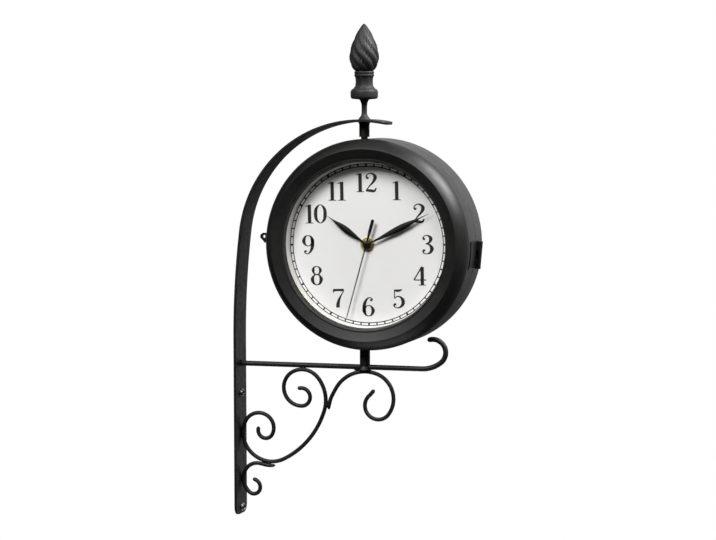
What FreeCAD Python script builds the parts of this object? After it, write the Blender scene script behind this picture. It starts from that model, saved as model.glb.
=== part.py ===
import FreeCAD, Part
import math
import os
import Sketcher

# Double sided station clock on a forged wall bracket, in millimetres.
# Frame: the origin lies on the wall plane, midway between the two wall holes.
# +X points out from the wall, +Z up, and the front dial faces -Y.

doc = FreeCAD.newDocument("StationClock")
sheet = doc.addObject("Spreadsheet::Sheet", "sheet")

DIMENSIONS = [
    # bracket
    ("axisOut", 127.0, "wall plane to the axis of the posts"),
    ("clockRise", 201.0, "wall hole midpoint up to the centre of the clock"),
    ("strapWidth", 30.0, "width of the flat bar"),
    ("strapThick", 2.5, "thickness of the flat bar"),
    ("strapStraightTop", -92.4, "top of the straight run, below the clock centre"),
    ("strapDrop", -262.5, "lower end of the strap, below the clock centre"),
    ("strapBendRadius", 851.3, "long gentle bend"),
    ("strapBendTurn", 7.0, "degrees turned by the gentle bend"),
    ("strapArchRadius", 119.74, "arch over the clock"),
    ("strapArchTurn", 95.4, "degrees turned by the arch"),
    ("strapArchSink", 3.27, "centre of the arch below the clock centre"),
    ("strapCorner", 8.0, "corner radius at both ends"),
    ("holeSpacing", 111.0, "between the two wall holes"),
    ("eyeletBore", 2.6, "radius of the hole through an eyelet"),
    ("eyeletBarrel", 3.2, "outer radius of the eyelet barrel"),
    ("eyeletFlange", 4.2, "radius of the domed flange"),
    ("eyeletRise", 2.4, "height of the flange above the strap"),
    ("rodRadius", 2.5, "support rod"),
    ("rodDrop", -116.7, "support rod below the clock centre"),
    ("hookStart", 56.0, "start of the hook, out from the posts"),
    ("hookSweepRadius", 29.6, "wide first bend of the hook"),
    ("hookSweepTurn", 38.5, "degrees turned by the first bend"),
    ("hookRadius", 12.2, "tight second bend of the hook"),
    ("hookTurn", 167.5, "degrees turned by the second bend"),
    ("scrollRadius", 1.95, "scroll rod"),
    ("postRadius", 4.9, "posts above and below the clock"),
    ("pinRadius", 3.2, "pivot pin at the end of each post"),
    ("postGap", 1.6, "gap between the upper post and the case"),
    ("weldFlare", 1.6, "how far a weld fillet stands out"),
    ("stemRadius", 2.6, "stem of the finial"),
    ("stemHeight", 19.2, "strap to the finial's collar"),
    ("collarRadius", 13.0, "collar of the finial"),
    ("collarHeight", 9.4, "height of the collar"),
    ("neckRadius", 8.5, "waist of the finial's neck"),
    ("neckHeight", 16.6, "collar up to the bud"),
    ("budRadius", 14.1, "fattest part of the bud"),
    ("budHeight", 44.6, "height of the bud"),
    # case
    ("caseRadius", 99.5, "outside of the drum"),
    ("caseSide", 5.2, "case centre beside the axis of the posts"),
    ("seamBack", 13.0, "seam plane behind the axis of the posts"),
    ("seamGap", 0.3, "gap between the two halves"),
    ("wall", 1.2, "sheet thickness of the shells"),
    ("shoulderRadius", 24.0, "rounded shoulder from the rim to the ridge"),
    ("shoulderCentreRadius", 76.2, "centre of the shoulder arc, from the case axis"),
    ("shoulderCentreDepth", 19.3, "centre of the shoulder arc, from the seam"),
    ("ridgeDepth", 38.9, "ridge of the bezel, from the seam"),
    ("lipRadius", 79.2, "dial opening"),
    ("lipDepth", 35.6, "edge of the dial opening, from the seam"),
    ("lipWallRadius", 77.9, "inner end of the lip's turned-in wall"),
    ("lipWallDepth", 30.0, "inner end of the lip's turned-in wall, from the seam"),
    ("lensRadius", 87.0, "glass"),
    ("lensThick", 1.0, "glass"),
    ("lensDepth", 28.97, "back of the glass, from the seam"),
    ("ringFoot", 76.6, "inside of the spacer ring at the dial"),
    ("ringMouth", 78.2, "inside of the spacer ring at the glass"),
    ("ringShoulder", 89.0, "outside of the spacer ring's wall"),
    ("ringFlange", 97.0, "outside of the spacer ring's flange"),
    ("dialRadius", 86.8, "dial plate"),
    ("dialDepth", 21.0, "printed face of the dial, from the seam"),
    ("dialThick", 0.8, "dial plate"),
    # hinge and catch lugs
    ("hingeLean", 5.2, "degrees that the hinge sits below the case's middle line"),
    ("hingeRadius", 103.6, "hinge pin from the case axis"),
    ("knuckleRadius", 2.1, "hinge barrel"),
    ("hingePinRadius", 1.15, "hinge pin"),
    ("hingeHeight", 26.0, "hinge barrel"),
    ("leafWidth", 20.0, "hinge leaf"),
    ("leafThick", 0.8, "hinge leaf"),
    ("lugReach", 10.3, "centre of the lug's hole out from the case"),
    ("lugRadius", 3.8, "round head of a lug"),
    ("lugHole", 1.5, "hole through a lug"),
    ("lugThick", 1.2, "lug plate"),
    # movement
    ("moveSide", 56.0, "square movement"),
    ("moveFront", 20.1, "front of the movement, from the seam"),
    ("moveBack", 5.3, "back of the movement tray, from the seam"),
    ("moveWall", 1.0, "wall of the tray"),
    ("coverThick", 1.0, "back cover of the movement"),
    ("bushRadius", 4.0, "threaded bush through the dial"),
    ("bushBore", 2.58, "bore of the bush"),
    ("bushTop", 23.1, "end of the bush, from the seam"),
    ("washerRadius", 6.7, "brass washer"),
    ("washerThick", 0.5, "brass washer"),
    ("nutRadius", 5.2, "brass nut across its corners"),
    ("nutThick", 1.4, "brass nut"),
    ("batteryRadius", 7.1, "penlight cell"),
    ("batteryLength", 48.5, "penlight cell"),
    ("trainDistance", 10.8, "hand axis to the third and minute wheel axes"),
    ("rotorDistance", 9.0, "intermediate wheel axis to the rotor"),
    ("driveDistance", 10.5, "hand axis to the intermediate wheel"),
    # hands
    ("hourLength", 47.0, "hour hand"),
    ("minuteLength", 67.6, "minute hand"),
    ("secondLength", 71.5, "second hand"),
    ("secondTail", 25.0, "counterweight end of the second hand"),
    ("leafHandWidth", 5.8, "widest part of the hour and minute hands"),
    ("hourAngle", 304.6, "degrees clockwise from twelve"),
    ("minuteAngle", 63.6, "degrees clockwise from twelve"),
    ("secondAngle", 195.7, "degrees clockwise from twelve"),
    ("handThick", 0.4, "hands"),
    ("hourDepth", 23.5, "back of the hour hand, from the seam"),
    ("minuteDepth", 24.5, "back of the minute hand, from the seam"),
    ("secondDepth", 25.4, "back of the second hand, from the seam"),
]

for row, (alias, number, note) in enumerate(DIMENSIONS, start=1):
    sheet.set("A%d" % row, alias)
    sheet.set("B%d" % row, str(number))
    sheet.set("C%d" % row, note)
    sheet.setAlias("B%d" % row, alias)
doc.recompute()


class Size:
    """A length that knows both its number and its expression on the sheet."""

    def __init__(self, value, text):
        self.value = value
        self.text = text

    def __float__(self):
        return float(self.value)

    def joined(self, other, sign, value):
        return Size(value, "(%s %s %s)" % (self.text, sign, asSize(other).text))

    def __add__(self, other):
        return self.joined(other, "+", self.value + float(other))

    def __sub__(self, other):
        return self.joined(other, "-", self.value - float(other))

    def __mul__(self, other):
        return self.joined(other, "*", self.value * float(other))

    def __truediv__(self, other):
        return self.joined(other, "/", self.value / float(other))

    def __neg__(self):
        return Size(-self.value, "(0 - %s)" % self.text)


def asSize(number):
    return number if isinstance(number, Size) else Size(float(number), repr(float(number)))


class Dims:
    """Reads any alias of the sheet as a Size, such as dim.caseRadius."""

    def __getattr__(self, alias):
        return Size(float(sheet.get(alias)), "sheet." + alias)


dim = Dims()
nodes = []


# ---------------------------------------------------------------- helpers

def bind(target, name, size):
    """Sets a property from a Size, and binds it to the sheet."""
    target.setExpression(name, asSize(size).text)


def bindBase(target, x, y, z, rotation=FreeCAD.Rotation()):
    """Places an object at bound coordinates with a fixed rotation."""
    here = FreeCAD.Vector(float(x), float(y), float(z))
    target.Placement = FreeCAD.Placement(here, rotation)
    bind(target, "Placement.Base.x", x)
    bind(target, "Placement.Base.y", y)
    bind(target, "Placement.Base.z", z)


def onBracket(target):
    """Bracket pieces are drawn about the clock's centre in the bracket plane."""
    bindBase(target, dim.axisOut, 0, dim.clockRise)


SIDE_TURN = {
    "front": FreeCAD.Rotation(FreeCAD.Vector(1, 0, 0), 90),
    "rear": FreeCAD.Rotation(FreeCAD.Vector(0, 0, 1), 180)
    * FreeCAD.Rotation(FreeCAD.Vector(1, 0, 0), 90),
}


def onSide(side):
    """Case pieces are drawn face up: X right, Y up, Z out of the dial, seam at Z 0."""
    def place(target):
        bindBase(target, dim.axisOut + dim.caseSide, dim.seamBack, dim.clockRise, SIDE_TURN[side])
    return place


def onMovement(side):
    """Movement pieces are drawn like case pieces, with Z 0 on the back of the tray."""
    back = dim.seamBack - dim.moveBack if side == "front" else dim.seamBack + dim.moveBack

    def place(target):
        bindBase(target, dim.axisOut + dim.caseSide, back, dim.clockRise, SIDE_TURN[side])
    return place


def keep(target, name):
    target.Label = name
    nodes.append(target)
    return target


def plane(body, role):
    for feature in body.Origin.OriginFeatures:
        if feature.Role == role:
            return feature
    raise RuntimeError("no plane " + role)


def newBody(name, place):
    body = doc.addObject("PartDesign::Body", "Body_" + name)
    place(body)
    return keep(body, name)


def newSketch(body, role, lift=None):
    sketch = body.newObject("Sketcher::SketchObject", "Sketch_" + body.Label)
    sketch.AttachmentSupport = [(plane(body, role), "")]
    sketch.MapMode = "FlatFace"
    if lift is not None:
        bind(sketch, "AttachmentOffset.Base.z", lift)
    return sketch


def pin(sketch, geometry, end, x, y):
    """Holds one end of a sketch line at a bound place."""
    for kind, size in (("DistanceX", x), ("DistanceY", y)):
        index = sketch.addConstraint(Sketcher.Constraint(kind, geometry, end, float(size)))
        if isinstance(size, Size):
            bind(sketch, "Constraints[%d]" % index, size)


def outline(sketch, points):
    """A closed outline of straight lines through bound points."""
    spots = [FreeCAD.Vector(float(x), float(y), 0) for x, y in points]
    first = sketch.GeometryCount
    for here, there in zip(spots, spots[1:] + spots[:1]):
        sketch.addGeometry(Part.LineSegment(here, there))
    for step in range(len(points)):
        after = first + (step + 1) % len(points)
        sketch.addConstraint(Sketcher.Constraint("Coincident", first + step, 2, after, 1))
        pin(sketch, first + step, 1, *points[step])


def circle(sketch, x, y, radius):
    """A circle with a bound centre and radius."""
    centre = FreeCAD.Vector(float(x), float(y), 0)
    index = sketch.addGeometry(Part.Circle(centre, FreeCAD.Vector(0, 0, 1), float(radius)))
    pin(sketch, index, 3, x, y)
    size = sketch.addConstraint(Sketcher.Constraint("Radius", index, float(radius)))
    bind(sketch, "Constraints[%d]" % size, radius)


def revolve(body, sketch):
    turn = body.newObject("PartDesign::Revolution", "Turn_" + body.Label)
    turn.Profile = sketch
    turn.ReferenceAxis = (sketch, ["V_Axis"])
    turn.Angle = 360
    return turn


def turned(name, points, place):
    """A piece turned about its own Z axis from (radius, height) points."""
    body = newBody(name, place)
    sketch = newSketch(body, "XZ_Plane")
    outline(sketch, points)
    revolve(body, sketch)
    return body


def pad(body, sketch, length, midplane=False):
    feature = body.newObject("PartDesign::Pad", "Pad_" + body.Label)
    feature.Profile = sketch
    bind(feature, "Length", length)
    feature.Midplane = midplane
    return feature


def cutAway(name, base, tool):
    cut = doc.addObject("Part::Cut", "Cut_" + name)
    cut.Base = base
    cut.Tool = tool
    return cut


def solidFeature(name, shape, place):
    """A piece whose shape is worked out here from the sheet."""
    feature = doc.addObject("Part::Feature", "Shape_" + name)
    feature.Shape = shape
    place(feature)
    return keep(feature, name)


def walk(start, heading, turns):
    """Tangent arcs: from a start point and heading, (radius, degrees to the left) each."""
    x, z = start
    angle = math.radians(heading)
    edges = []
    for radius, turn in turns:
        side = math.copysign(1, turn)
        cx = x - side * radius * math.sin(angle)
        cz = z + side * radius * math.cos(angle)
        stops = []
        for part in (0.5, 1.0):
            here = angle + math.radians(turn) * part
            stops.append((cx + side * radius * math.sin(here), cz - side * radius * math.cos(here)))
        ends = [FreeCAD.Vector(px, 0, pz) for px, pz in [(x, z)] + stops]
        edges.append(Part.Arc(*ends).toShape())
        angle += math.radians(turn)
        x, z = stops[-1]
    return edges, (x, z), math.degrees(angle)


def rod(name, edges, radius):
    """A round rod swept along a wire in the bracket plane, with square cut ends."""
    path = doc.addObject("Part::Feature", "Path_" + name)
    path.Shape = Part.Wire(edges)
    first = edges[0]
    tangent = first.tangentAt(first.FirstParameter)
    section = doc.addObject("Part::Circle", "Section_" + name)
    bind(section, "Radius", radius)
    turn = FreeCAD.Rotation(FreeCAD.Vector(0, 0, 1), tangent)
    section.Placement = FreeCAD.Placement(first.firstVertex().Point, turn)
    sweep = doc.addObject("Part::Sweep", "Rod_" + name)
    sweep.Sections = [section]
    sweep.Spine = (path, ["Edge%d" % (step + 1) for step in range(len(edges))])
    sweep.Solid = True
    sweep.Frenet = False
    onBracket(sweep)
    return keep(sweep, name)


# ---------------------------------------------------------------- bracket

def makeStrap():
    """The flat wall strap with its long bend and the arch over the clock."""
    body = newBody("wall_strap", onBracket)
    sketch = newSketch(body, "XZ_Plane")
    half = float(dim.strapThick) / 2
    back = -float(dim.axisOut)
    foot = float(dim.strapDrop)
    top = float(dim.strapStraightTop)
    sides = []
    for offset in (-half, half):
        turns = [
            (float(dim.strapBendRadius) - offset, -float(dim.strapBendTurn)),
            (float(dim.strapArchRadius) - offset, -float(dim.strapArchTurn)),
        ]
        edges, end, heading = walk((back + half + offset, top), 90, turns)
        straight = Part.LineSegment(
            FreeCAD.Vector(back + half + offset, foot, 0),
            FreeCAD.Vector(back + half + offset, top, 0),
        )
        arcs = []
        for edge in edges:
            first, span = edge.FirstParameter, edge.LastParameter - edge.FirstParameter
            points = [edge.valueAt(first + span * part) for part in (0, 0.5, 1)]
            arcs.append(Part.Arc(*[FreeCAD.Vector(point.x, point.z, 0) for point in points]))
        sides.append(([straight] + arcs, end))
    for lines, end in sides:
        for line in lines:
            sketch.addGeometry(line)
    corners = [FreeCAD.Vector(back, foot, 0), FreeCAD.Vector(back + 2 * half, foot, 0)]
    ends = [FreeCAD.Vector(end[0], end[1], 0) for lines, end in sides]
    sketch.addGeometry(Part.LineSegment(*corners))
    sketch.addGeometry(Part.LineSegment(*ends))
    pad(body, sketch, dim.strapWidth, midplane=True)
    doc.recompute()
    roundStrapEnds(body, foot, max(point.x for point in ends))
    return body


def roundStrapEnds(body, foot, tip):
    """Rounds the four corners where the strap ends, and drills the two wall holes."""
    tall = float(dim.strapThick)
    names = []
    bar = body.Tip
    for index, edge in enumerate(bar.Shape.Edges, start=1):
        middle = edge.CenterOfMass
        atEnd = abs(middle.z - foot) < 0.1 or middle.x > tip - tall
        atSide = abs(abs(middle.y) - float(dim.strapWidth) / 2) < 0.01
        if atEnd and atSide and abs(edge.Length - tall) < 0.01:
            names.append("Edge%d" % index)
    fillet = body.newObject("PartDesign::Fillet", "Corners")
    fillet.Base = (bar, names)
    bind(fillet, "Radius", dim.strapCorner)
    doc.recompute()
    holes = newSketch(body, "YZ_Plane")
    for sign in (-1, 1):
        circle(holes, 0, dim.holeSpacing * (0.5 * sign) - dim.clockRise, dim.eyeletBarrel)
    cut = body.newObject("PartDesign::Pocket", "WallHoles")
    cut.Profile = holes
    cut.Type = "ThroughAll"
    cut.Midplane = True


def makeEyelets():
    """Two domed metal eyelets that line the wall holes."""
    pair = []
    back = -(dim.axisOut)
    face = dim.strapThick
    for sign in (-1, 1):
        body = doc.addObject("PartDesign::Body", "Eyelet%d" % (sign + 1))
        sketch = newSketch(body, "XZ_Plane")
        outline(sketch, [
            (dim.eyeletBore, 0),
            (dim.eyeletBarrel - 0.02, 0),
            (dim.eyeletBarrel - 0.02, face + 0.02),
            (dim.eyeletFlange, face + 0.02),
            (dim.eyeletFlange - 0.1, face + dim.eyeletRise * 0.45),
            (dim.eyeletFlange - 0.7, face + dim.eyeletRise * 0.85),
            (dim.eyeletFlange - 1.3, face + dim.eyeletRise),
            (dim.eyeletBore + 0.5, face + dim.eyeletRise),
            (dim.eyeletBore, face + dim.eyeletRise * 0.7),
        ])
        revolve(body, sketch)
        bindBase(body, 0, 0, dim.holeSpacing * (0.5 * sign),
                 FreeCAD.Rotation(FreeCAD.Vector(0, 1, 0), 90))
        pair.append(body)
    group = doc.addObject("Part::Compound", "WallEyelets")
    group.Links = pair
    return keep(group, "wall_eyelets")


def makeRod():
    """The support rod: level from the strap, ending in an upward hook of two bends."""
    level = float(dim.rodDrop)
    inner = -float(dim.axisOut) + float(dim.strapThick)
    start = float(dim.hookStart)
    ends = FreeCAD.Vector(inner, 0, level), FreeCAD.Vector(start, 0, level)
    hook = walk((start, level), 0, [
        (float(dim.hookSweepRadius), float(dim.hookSweepTurn)),
        (float(dim.hookRadius), float(dim.hookTurn))])[0]
    rod("support_rod", [Part.LineSegment(*ends).toShape()] + hook, dim.rodRadius)


# Each scroll: start point from the clock's centre, heading in degrees, then
# (radius, degrees turned) for every arc; a negative turn is clockwise.
SCROLLS = {
    "large_scroll": ((-67.2, -139.8), 26.4, [
        (8.6, -203.3), (17.4, -156.6), (20.3, -76.1), (33.5, -58.3), (81.7, -45.1),
        (29.1, -74.7), (25.9, -66.9), (15.5, -103.5), (13.7, -79.1), (7.6, -179.0)]),
    "post_scroll": ((-36.0, -158.4), 90.2, [
        (28.8, -27.3), (145.7, -3.3), (33.9, -78.2), (24.7, -109.0), (12.9, -146.7),
        (13.0, -44.1), (28.4, 15.3)]),
    "lower_scroll": ((-90.4, -214.6), 187.1, [
        (33.9, -19.6), (54.0, 5.3), (13.7, 72.5), (17.6, 72.4), (6.7, 134.6), (7.7, 86.5)]),
}


def makeScrolls():
    for name, (start, heading, turns) in SCROLLS.items():
        rod(name, walk(start, heading, turns)[0], dim.scrollRadius)


def makePosts():
    """The two short posts, each with a welded flare and a pivot pin into the case."""
    under = dim.strapArchRadius - dim.strapThick / 2 - dim.strapArchSink + 0.1
    case = dim.caseRadius
    turned("upper_post", [
        (0, under),
        (dim.postRadius + dim.weldFlare, under - 0.1),
        (dim.postRadius + 0.4, under - 1.2),
        (dim.postRadius, under - 2.6),
        (dim.postRadius, case + dim.postGap),
        (dim.pinRadius, case + dim.postGap),
        (dim.pinRadius, case - 8.0),
        (0, case - 8.0),
    ], onBracket)
    foot = dim.rodDrop - dim.rodRadius
    post = turned("lower_post", [
        (0, -case + 8.0),
        (dim.pinRadius, -case + 8.0),
        (dim.pinRadius, -case - 0.5),
        (dim.postRadius, -case - 0.5),
        (dim.postRadius, dim.rodDrop + 1.0),
        (dim.postRadius + dim.weldFlare, foot + 0.3),
        (dim.postRadius + dim.weldFlare, foot),
        (0, foot),
    ], onBracket)
    sketch = newSketch(post, "YZ_Plane")
    circle(sketch, 0, dim.rodDrop, dim.rodRadius + 0.02)
    cut = post.newObject("PartDesign::Pocket", "RodWay")
    cut.Profile = sketch
    cut.Type = "ThroughAll"
    cut.Midplane = True


def makePivotNuts():
    """The lock nuts that hold the pins inside the case."""
    pair = []
    for sign in (-1, 1):
        nut = doc.addObject("Part::Prism", "PivotNut%d" % (sign + 1))
        nut.Polygon = 6
        bind(nut, "Circumradius", dim.pinRadius + 2.8)
        nut.Height = 4
        low = dim.clockRise + (dim.caseRadius - 7.0) * sign + (0 if sign > 0 else -4)
        bindBase(nut, dim.axisOut, 0, low)
        hole = doc.addObject("Part::Cylinder", "PivotNutBore%d" % (sign + 1))
        bind(hole, "Radius", dim.pinRadius + 0.02)
        bind(hole, "Height", 10)
        bindBase(hole, dim.axisOut, 0, low - 3.0)
        pair.append(cutAway("PivotNut%d" % (sign + 1), nut, hole))
    group = doc.addObject("Part::Compound", "PivotNuts")
    group.Links = pair
    return keep(group, "pivot_nuts")


def makeFinial():
    """Stem, collar, neck and bud, turned; the bud's outline is one smooth curve."""
    base = float(dim.strapArchRadius + dim.strapThick / 2 - dim.strapArchSink) - 0.1
    stem = float(dim.stemRadius)
    flare = float(dim.weldFlare)
    collarLow = base + float(dim.stemHeight)
    collarTop = collarLow + float(dim.collarHeight)
    budLow = collarTop + float(dim.neckHeight)
    collar = float(dim.collarRadius)
    neck = float(dim.neckRadius)
    low = [
        (0, base), (stem + 2 * flare, base), (stem + 0.6, base + 2.2), (stem, base + 4),
        (stem, collarLow - 4.5), (stem + 0.7, collarLow - 2), (stem + 1.6, collarLow),
        (collar - 1.6, collarLow), (collar - 0.4, collarLow + 0.8), (collar, collarLow + 2.2),
        (collar, collarTop - 2.2), (collar - 0.5, collarTop - 0.8), (collar - 1.8, collarTop),
        (neck + 1.6, collarTop), (neck + 0.9, collarTop + 1.2), (neck + 0.2, collarTop + 3.4),
        (neck, collarTop + 6.5), (neck + 0.3, collarTop + 10), (neck + 0.7, collarTop + 12),
        (neck + 0.9, collarTop + 14.2), (neck + 0.7, budLow - 1.2), (neck + 0.6, budLow),
    ]
    # share of the bud's height, and share of its greatest radius
    bud = [(0, 0.58), (0.05, 0.75), (0.12, 0.9), (0.2, 0.975), (0.3, 1), (0.42, 0.97),
           (0.55, 0.85), (0.7, 0.66), (0.85, 0.39), (0.95, 0.17), (1, 0)]
    tall = float(dim.budHeight)
    wide = float(dim.budRadius)
    curve = Part.BSplineCurve()
    curve.interpolate([FreeCAD.Vector(wide * out, 0, budLow + tall * up) for up, out in bud])
    spots = [FreeCAD.Vector(radius, 0, height) for radius, height in low]
    edges = [Part.LineSegment(a, b).toShape() for a, b in zip(spots, spots[1:])]
    last = FreeCAD.Vector(wide * bud[0][1], 0, budLow)
    if (spots[-1] - last).Length > 1e-6:
        edges.append(Part.LineSegment(spots[-1], last).toShape())
    edges.append(curve.toShape())
    edges.append(Part.LineSegment(FreeCAD.Vector(0, 0, budLow + tall), spots[0]).toShape())
    face = Part.Face(Part.Wire(edges))
    shape = face.revolve(FreeCAD.Vector(0, 0, 0), FreeCAD.Vector(0, 0, 1), 360)
    solidFeature("finial", shape, onBracket)


# ---------------------------------------------------------------- case

def shellSketch(sketch):
    """Section of a half shell: drum wall, rounded shoulder, ridge, dish and turned-in lip."""
    outer = float(dim.caseRadius)
    thick = float(dim.wall)
    cr = float(dim.shoulderCentreRadius)
    ct = float(dim.shoulderCentreDepth)
    ridge = float(dim.ridgeDepth)
    lip = (dim.lipRadius, dim.lipDepth)
    turnedIn = (dim.lipWallRadius, dim.lipWallDepth)
    turnedOut = (dim.lipWallRadius + dim.wall * 0.92, dim.lipWallDepth)
    corner = (dim.lipRadius + dim.wall * 0.83, dim.lipDepth - dim.wall * 0.75)
    start = float(dim.seamGap) / 2

    def arcSpots(radius, wallRadius, topDepth):
        low = ct + math.sqrt(radius ** 2 - (wallRadius - cr) ** 2)
        out = cr + math.sqrt(radius ** 2 - (topDepth - ct) ** 2)
        return FreeCAD.Vector(wallRadius, low, 0), FreeCAD.Vector(out, topDepth, 0)

    def arcOf(radius, low, high):
        middle = (low + high) / 2 - FreeCAD.Vector(cr, ct, 0)
        middle = FreeCAD.Vector(cr, ct, 0) + middle * (radius / middle.Length)
        return Part.Arc(low, middle, high)

    big = float(dim.shoulderRadius)
    low, high = arcSpots(big, outer, ridge)
    lowIn, highIn = arcSpots(big - thick, outer - thick, ridge - thick * 1.05)
    foot = FreeCAD.Vector(outer, start, 0)
    footIn = FreeCAD.Vector(outer - thick, start, 0)
    bends = [FreeCAD.Vector(float(x), float(y), 0) for x, y in (lip, turnedIn, turnedOut, corner)]
    spots = [high] + bends + [highIn]
    pieces = [Part.LineSegment(foot, low), arcOf(big, low, high)]
    pieces += [Part.LineSegment(here, there) for here, there in zip(spots, spots[1:])]
    pieces += [arcOf(big - thick, highIn, lowIn), Part.LineSegment(lowIn, footIn)]
    pieces.append(Part.LineSegment(footIn, foot))
    for piece in pieces:
        sketch.addGeometry(piece)
    # arcs run counter-clockwise in a sketch, so the inner one is joined end first
    inner = 7
    for index in range(len(pieces)):
        after = (index + 1) % len(pieces)
        last = 1 if index == inner else 2
        following = 2 if after == inner else 1
        sketch.addConstraint(Sketcher.Constraint("Coincident", index, last, after, following))
    wide = dim.caseRadius
    pin(sketch, 0, 1, wide, dim.seamGap / 2)
    sketch.addConstraint(Sketcher.Constraint("Vertical", 0))
    for arc, radius in ((1, dim.shoulderRadius), (inner, dim.shoulderRadius - dim.wall)):
        pin(sketch, arc, 3, dim.shoulderCentreRadius, dim.shoulderCentreDepth)
        size = sketch.addConstraint(Sketcher.Constraint("Radius", arc, float(radius)))
        bind(sketch, "Constraints[%d]" % size, radius)
    for geometry, end, kind, size in (
            (2, 1, "DistanceY", dim.ridgeDepth),
            (inner, 2, "DistanceY", dim.ridgeDepth - dim.wall * 1.05),
            (inner, 1, "DistanceX", wide - dim.wall)):
        index = sketch.addConstraint(Sketcher.Constraint(kind, geometry, end, float(size)))
        bind(sketch, "Constraints[%d]" % index, size)
    for geometry, spot in enumerate((lip, turnedIn, turnedOut, corner), start=2):
        pin(sketch, geometry, 2, *spot)
    pin(sketch, 8, 2, wide - dim.wall, dim.seamGap / 2)


def makeShell(side):
    """Half of the drum, spun from sheet; the front half takes both pivot pins."""
    name = side + "_shell"
    body = doc.addObject("PartDesign::Body", "Body_" + name)
    body.Label = "Spun_" + name
    onSide(side)(body)
    sketch = newSketch(body, "XZ_Plane")
    shellSketch(sketch)
    revolve(body, sketch)
    if side == "rear":
        keep(body, name)
        return
    hole = doc.addObject("Part::Cylinder", "PinWay")
    bind(hole, "Radius", dim.pinRadius + 0.06)
    bind(hole, "Height", dim.caseRadius * 2 + 10)
    bindBase(hole, dim.axisOut, 0, dim.clockRise - dim.caseRadius - 5)
    keep(cutAway(name, body, hole), name)


def makeFace(side):
    """Glass, spacer ring and dial plate of one side."""
    place = onSide(side)
    turned(side + "_lens", [
        (0, dim.lensDepth),
        (dim.lensRadius, dim.lensDepth),
        (dim.lensRadius, dim.lensDepth + dim.lensThick),
        (0, dim.lensDepth + dim.lensThick),
    ], place)
    top = dim.lensDepth - 0.05
    face = dim.dialDepth
    turned(side + "_spacer_ring", [
        (dim.ringFoot, face + 0.02),
        (dim.dialRadius + 0.2, face + 0.02),
        (dim.dialRadius + 0.2, face - dim.dialThick),
        (dim.ringFlange, face - dim.dialThick),
        (dim.ringFlange, face + 0.7),
        (dim.ringShoulder, face + 0.7),
        (dim.ringShoulder, top),
        (dim.ringMouth, top),
    ], place)
    turned(side + "_dial", [
        (dim.bushRadius + 0.1, face - dim.dialThick),
        (dim.dialRadius, face - dim.dialThick),
        (dim.dialRadius, face),
        (dim.bushRadius + 0.1, face),
    ], place)


# ---------------------------------------------------------------- hinge and lugs

def hingeFrame():
    """Hinge axes: origin on the pin's middle, Z along the pin, X away from the case axis."""
    turn = FreeCAD.Rotation(FreeCAD.Vector(0, 1, 0), float(dim.hingeLean))
    centre = FreeCAD.Vector(float(dim.axisOut + dim.caseSide), float(dim.seamBack), float(dim.clockRise))
    out = turn.multVec(FreeCAD.Vector(float(dim.hingeRadius), 0, 0))
    return FreeCAD.Placement(centre + out, turn)


def makeHinge():
    """A butt hinge bent round the drum: three knuckles on one pin."""
    frame = hingeFrame()
    tall = float(dim.hingeHeight)
    knuckle = float(dim.knuckleRadius)
    reach = float(dim.hingeRadius)
    case = float(dim.caseRadius)
    wide = float(dim.leafWidth)
    thick = float(dim.leafThick)
    gap = 0.25
    along = FreeCAD.Vector(0, 0, 1)
    drumAxis = FreeCAD.Vector(0, 1, 0)
    drumStart = FreeCAD.Vector(-reach, -60, 0)
    sheetOuter = Part.makeCylinder(case + 0.05 + thick, 120, drumStart, drumAxis)
    drum = Part.makeCylinder(case + 0.05, 120, drumStart, drumAxis)
    third = tall / 3
    spans = {
        "front": [(-tall / 2, -third / 2 - gap / 2), (third / 2 + gap / 2, tall / 2)],
        "rear": [(-third / 2 + gap / 2, third / 2 - gap / 2)],
    }
    for side, sign in (("front", -1), ("rear", 1)):
        clear = knuckle + 0.45
        low = min(sign * clear, sign * wide)
        block = Part.makeBox(12, wide - clear, tall, FreeCAD.Vector(-8, low, -tall / 2))
        shape = block.common(sheetOuter)
        for start, end in spans[side]:
            barrel = Part.makeCylinder(knuckle, end - start, FreeCAD.Vector(0, 0, start), along)
            webLow = min(0, sign * (clear + 0.5))
            web = Part.makeBox(6, clear + 0.5, end - start, FreeCAD.Vector(-5, webLow, start))
            web = web.common(sheetOuter)
            bridge = Part.makeBox(knuckle + 1.5, knuckle, end - start,
                                  FreeCAD.Vector(-knuckle - 1.5, min(0, sign * knuckle), start))
            shape = shape.fuse([barrel, web, bridge])
        shape = shape.cut(drum)
        bore = Part.makeCylinder(float(dim.hingePinRadius) + (0.05 if side == "rear" else 0),
                                 tall + 2, FreeCAD.Vector(0, 0, -tall / 2 - 1), along)
        shape = shape.cut(bore).removeSplitter()
        solidFeature(side + "_hinge_leaf", shape, lambda target: setattr(target, "Placement", frame))
    pinBody = doc.addObject("Part::Cylinder", "HingePin")
    bind(pinBody, "Radius", dim.hingePinRadius)
    bind(pinBody, "Height", dim.hingeHeight)
    low = FreeCAD.Placement(FreeCAD.Vector(0, 0, -tall / 2), FreeCAD.Rotation())
    pinBody.Placement = frame.multiply(low)
    keep(pinBody, "hinge_pin")


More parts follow.
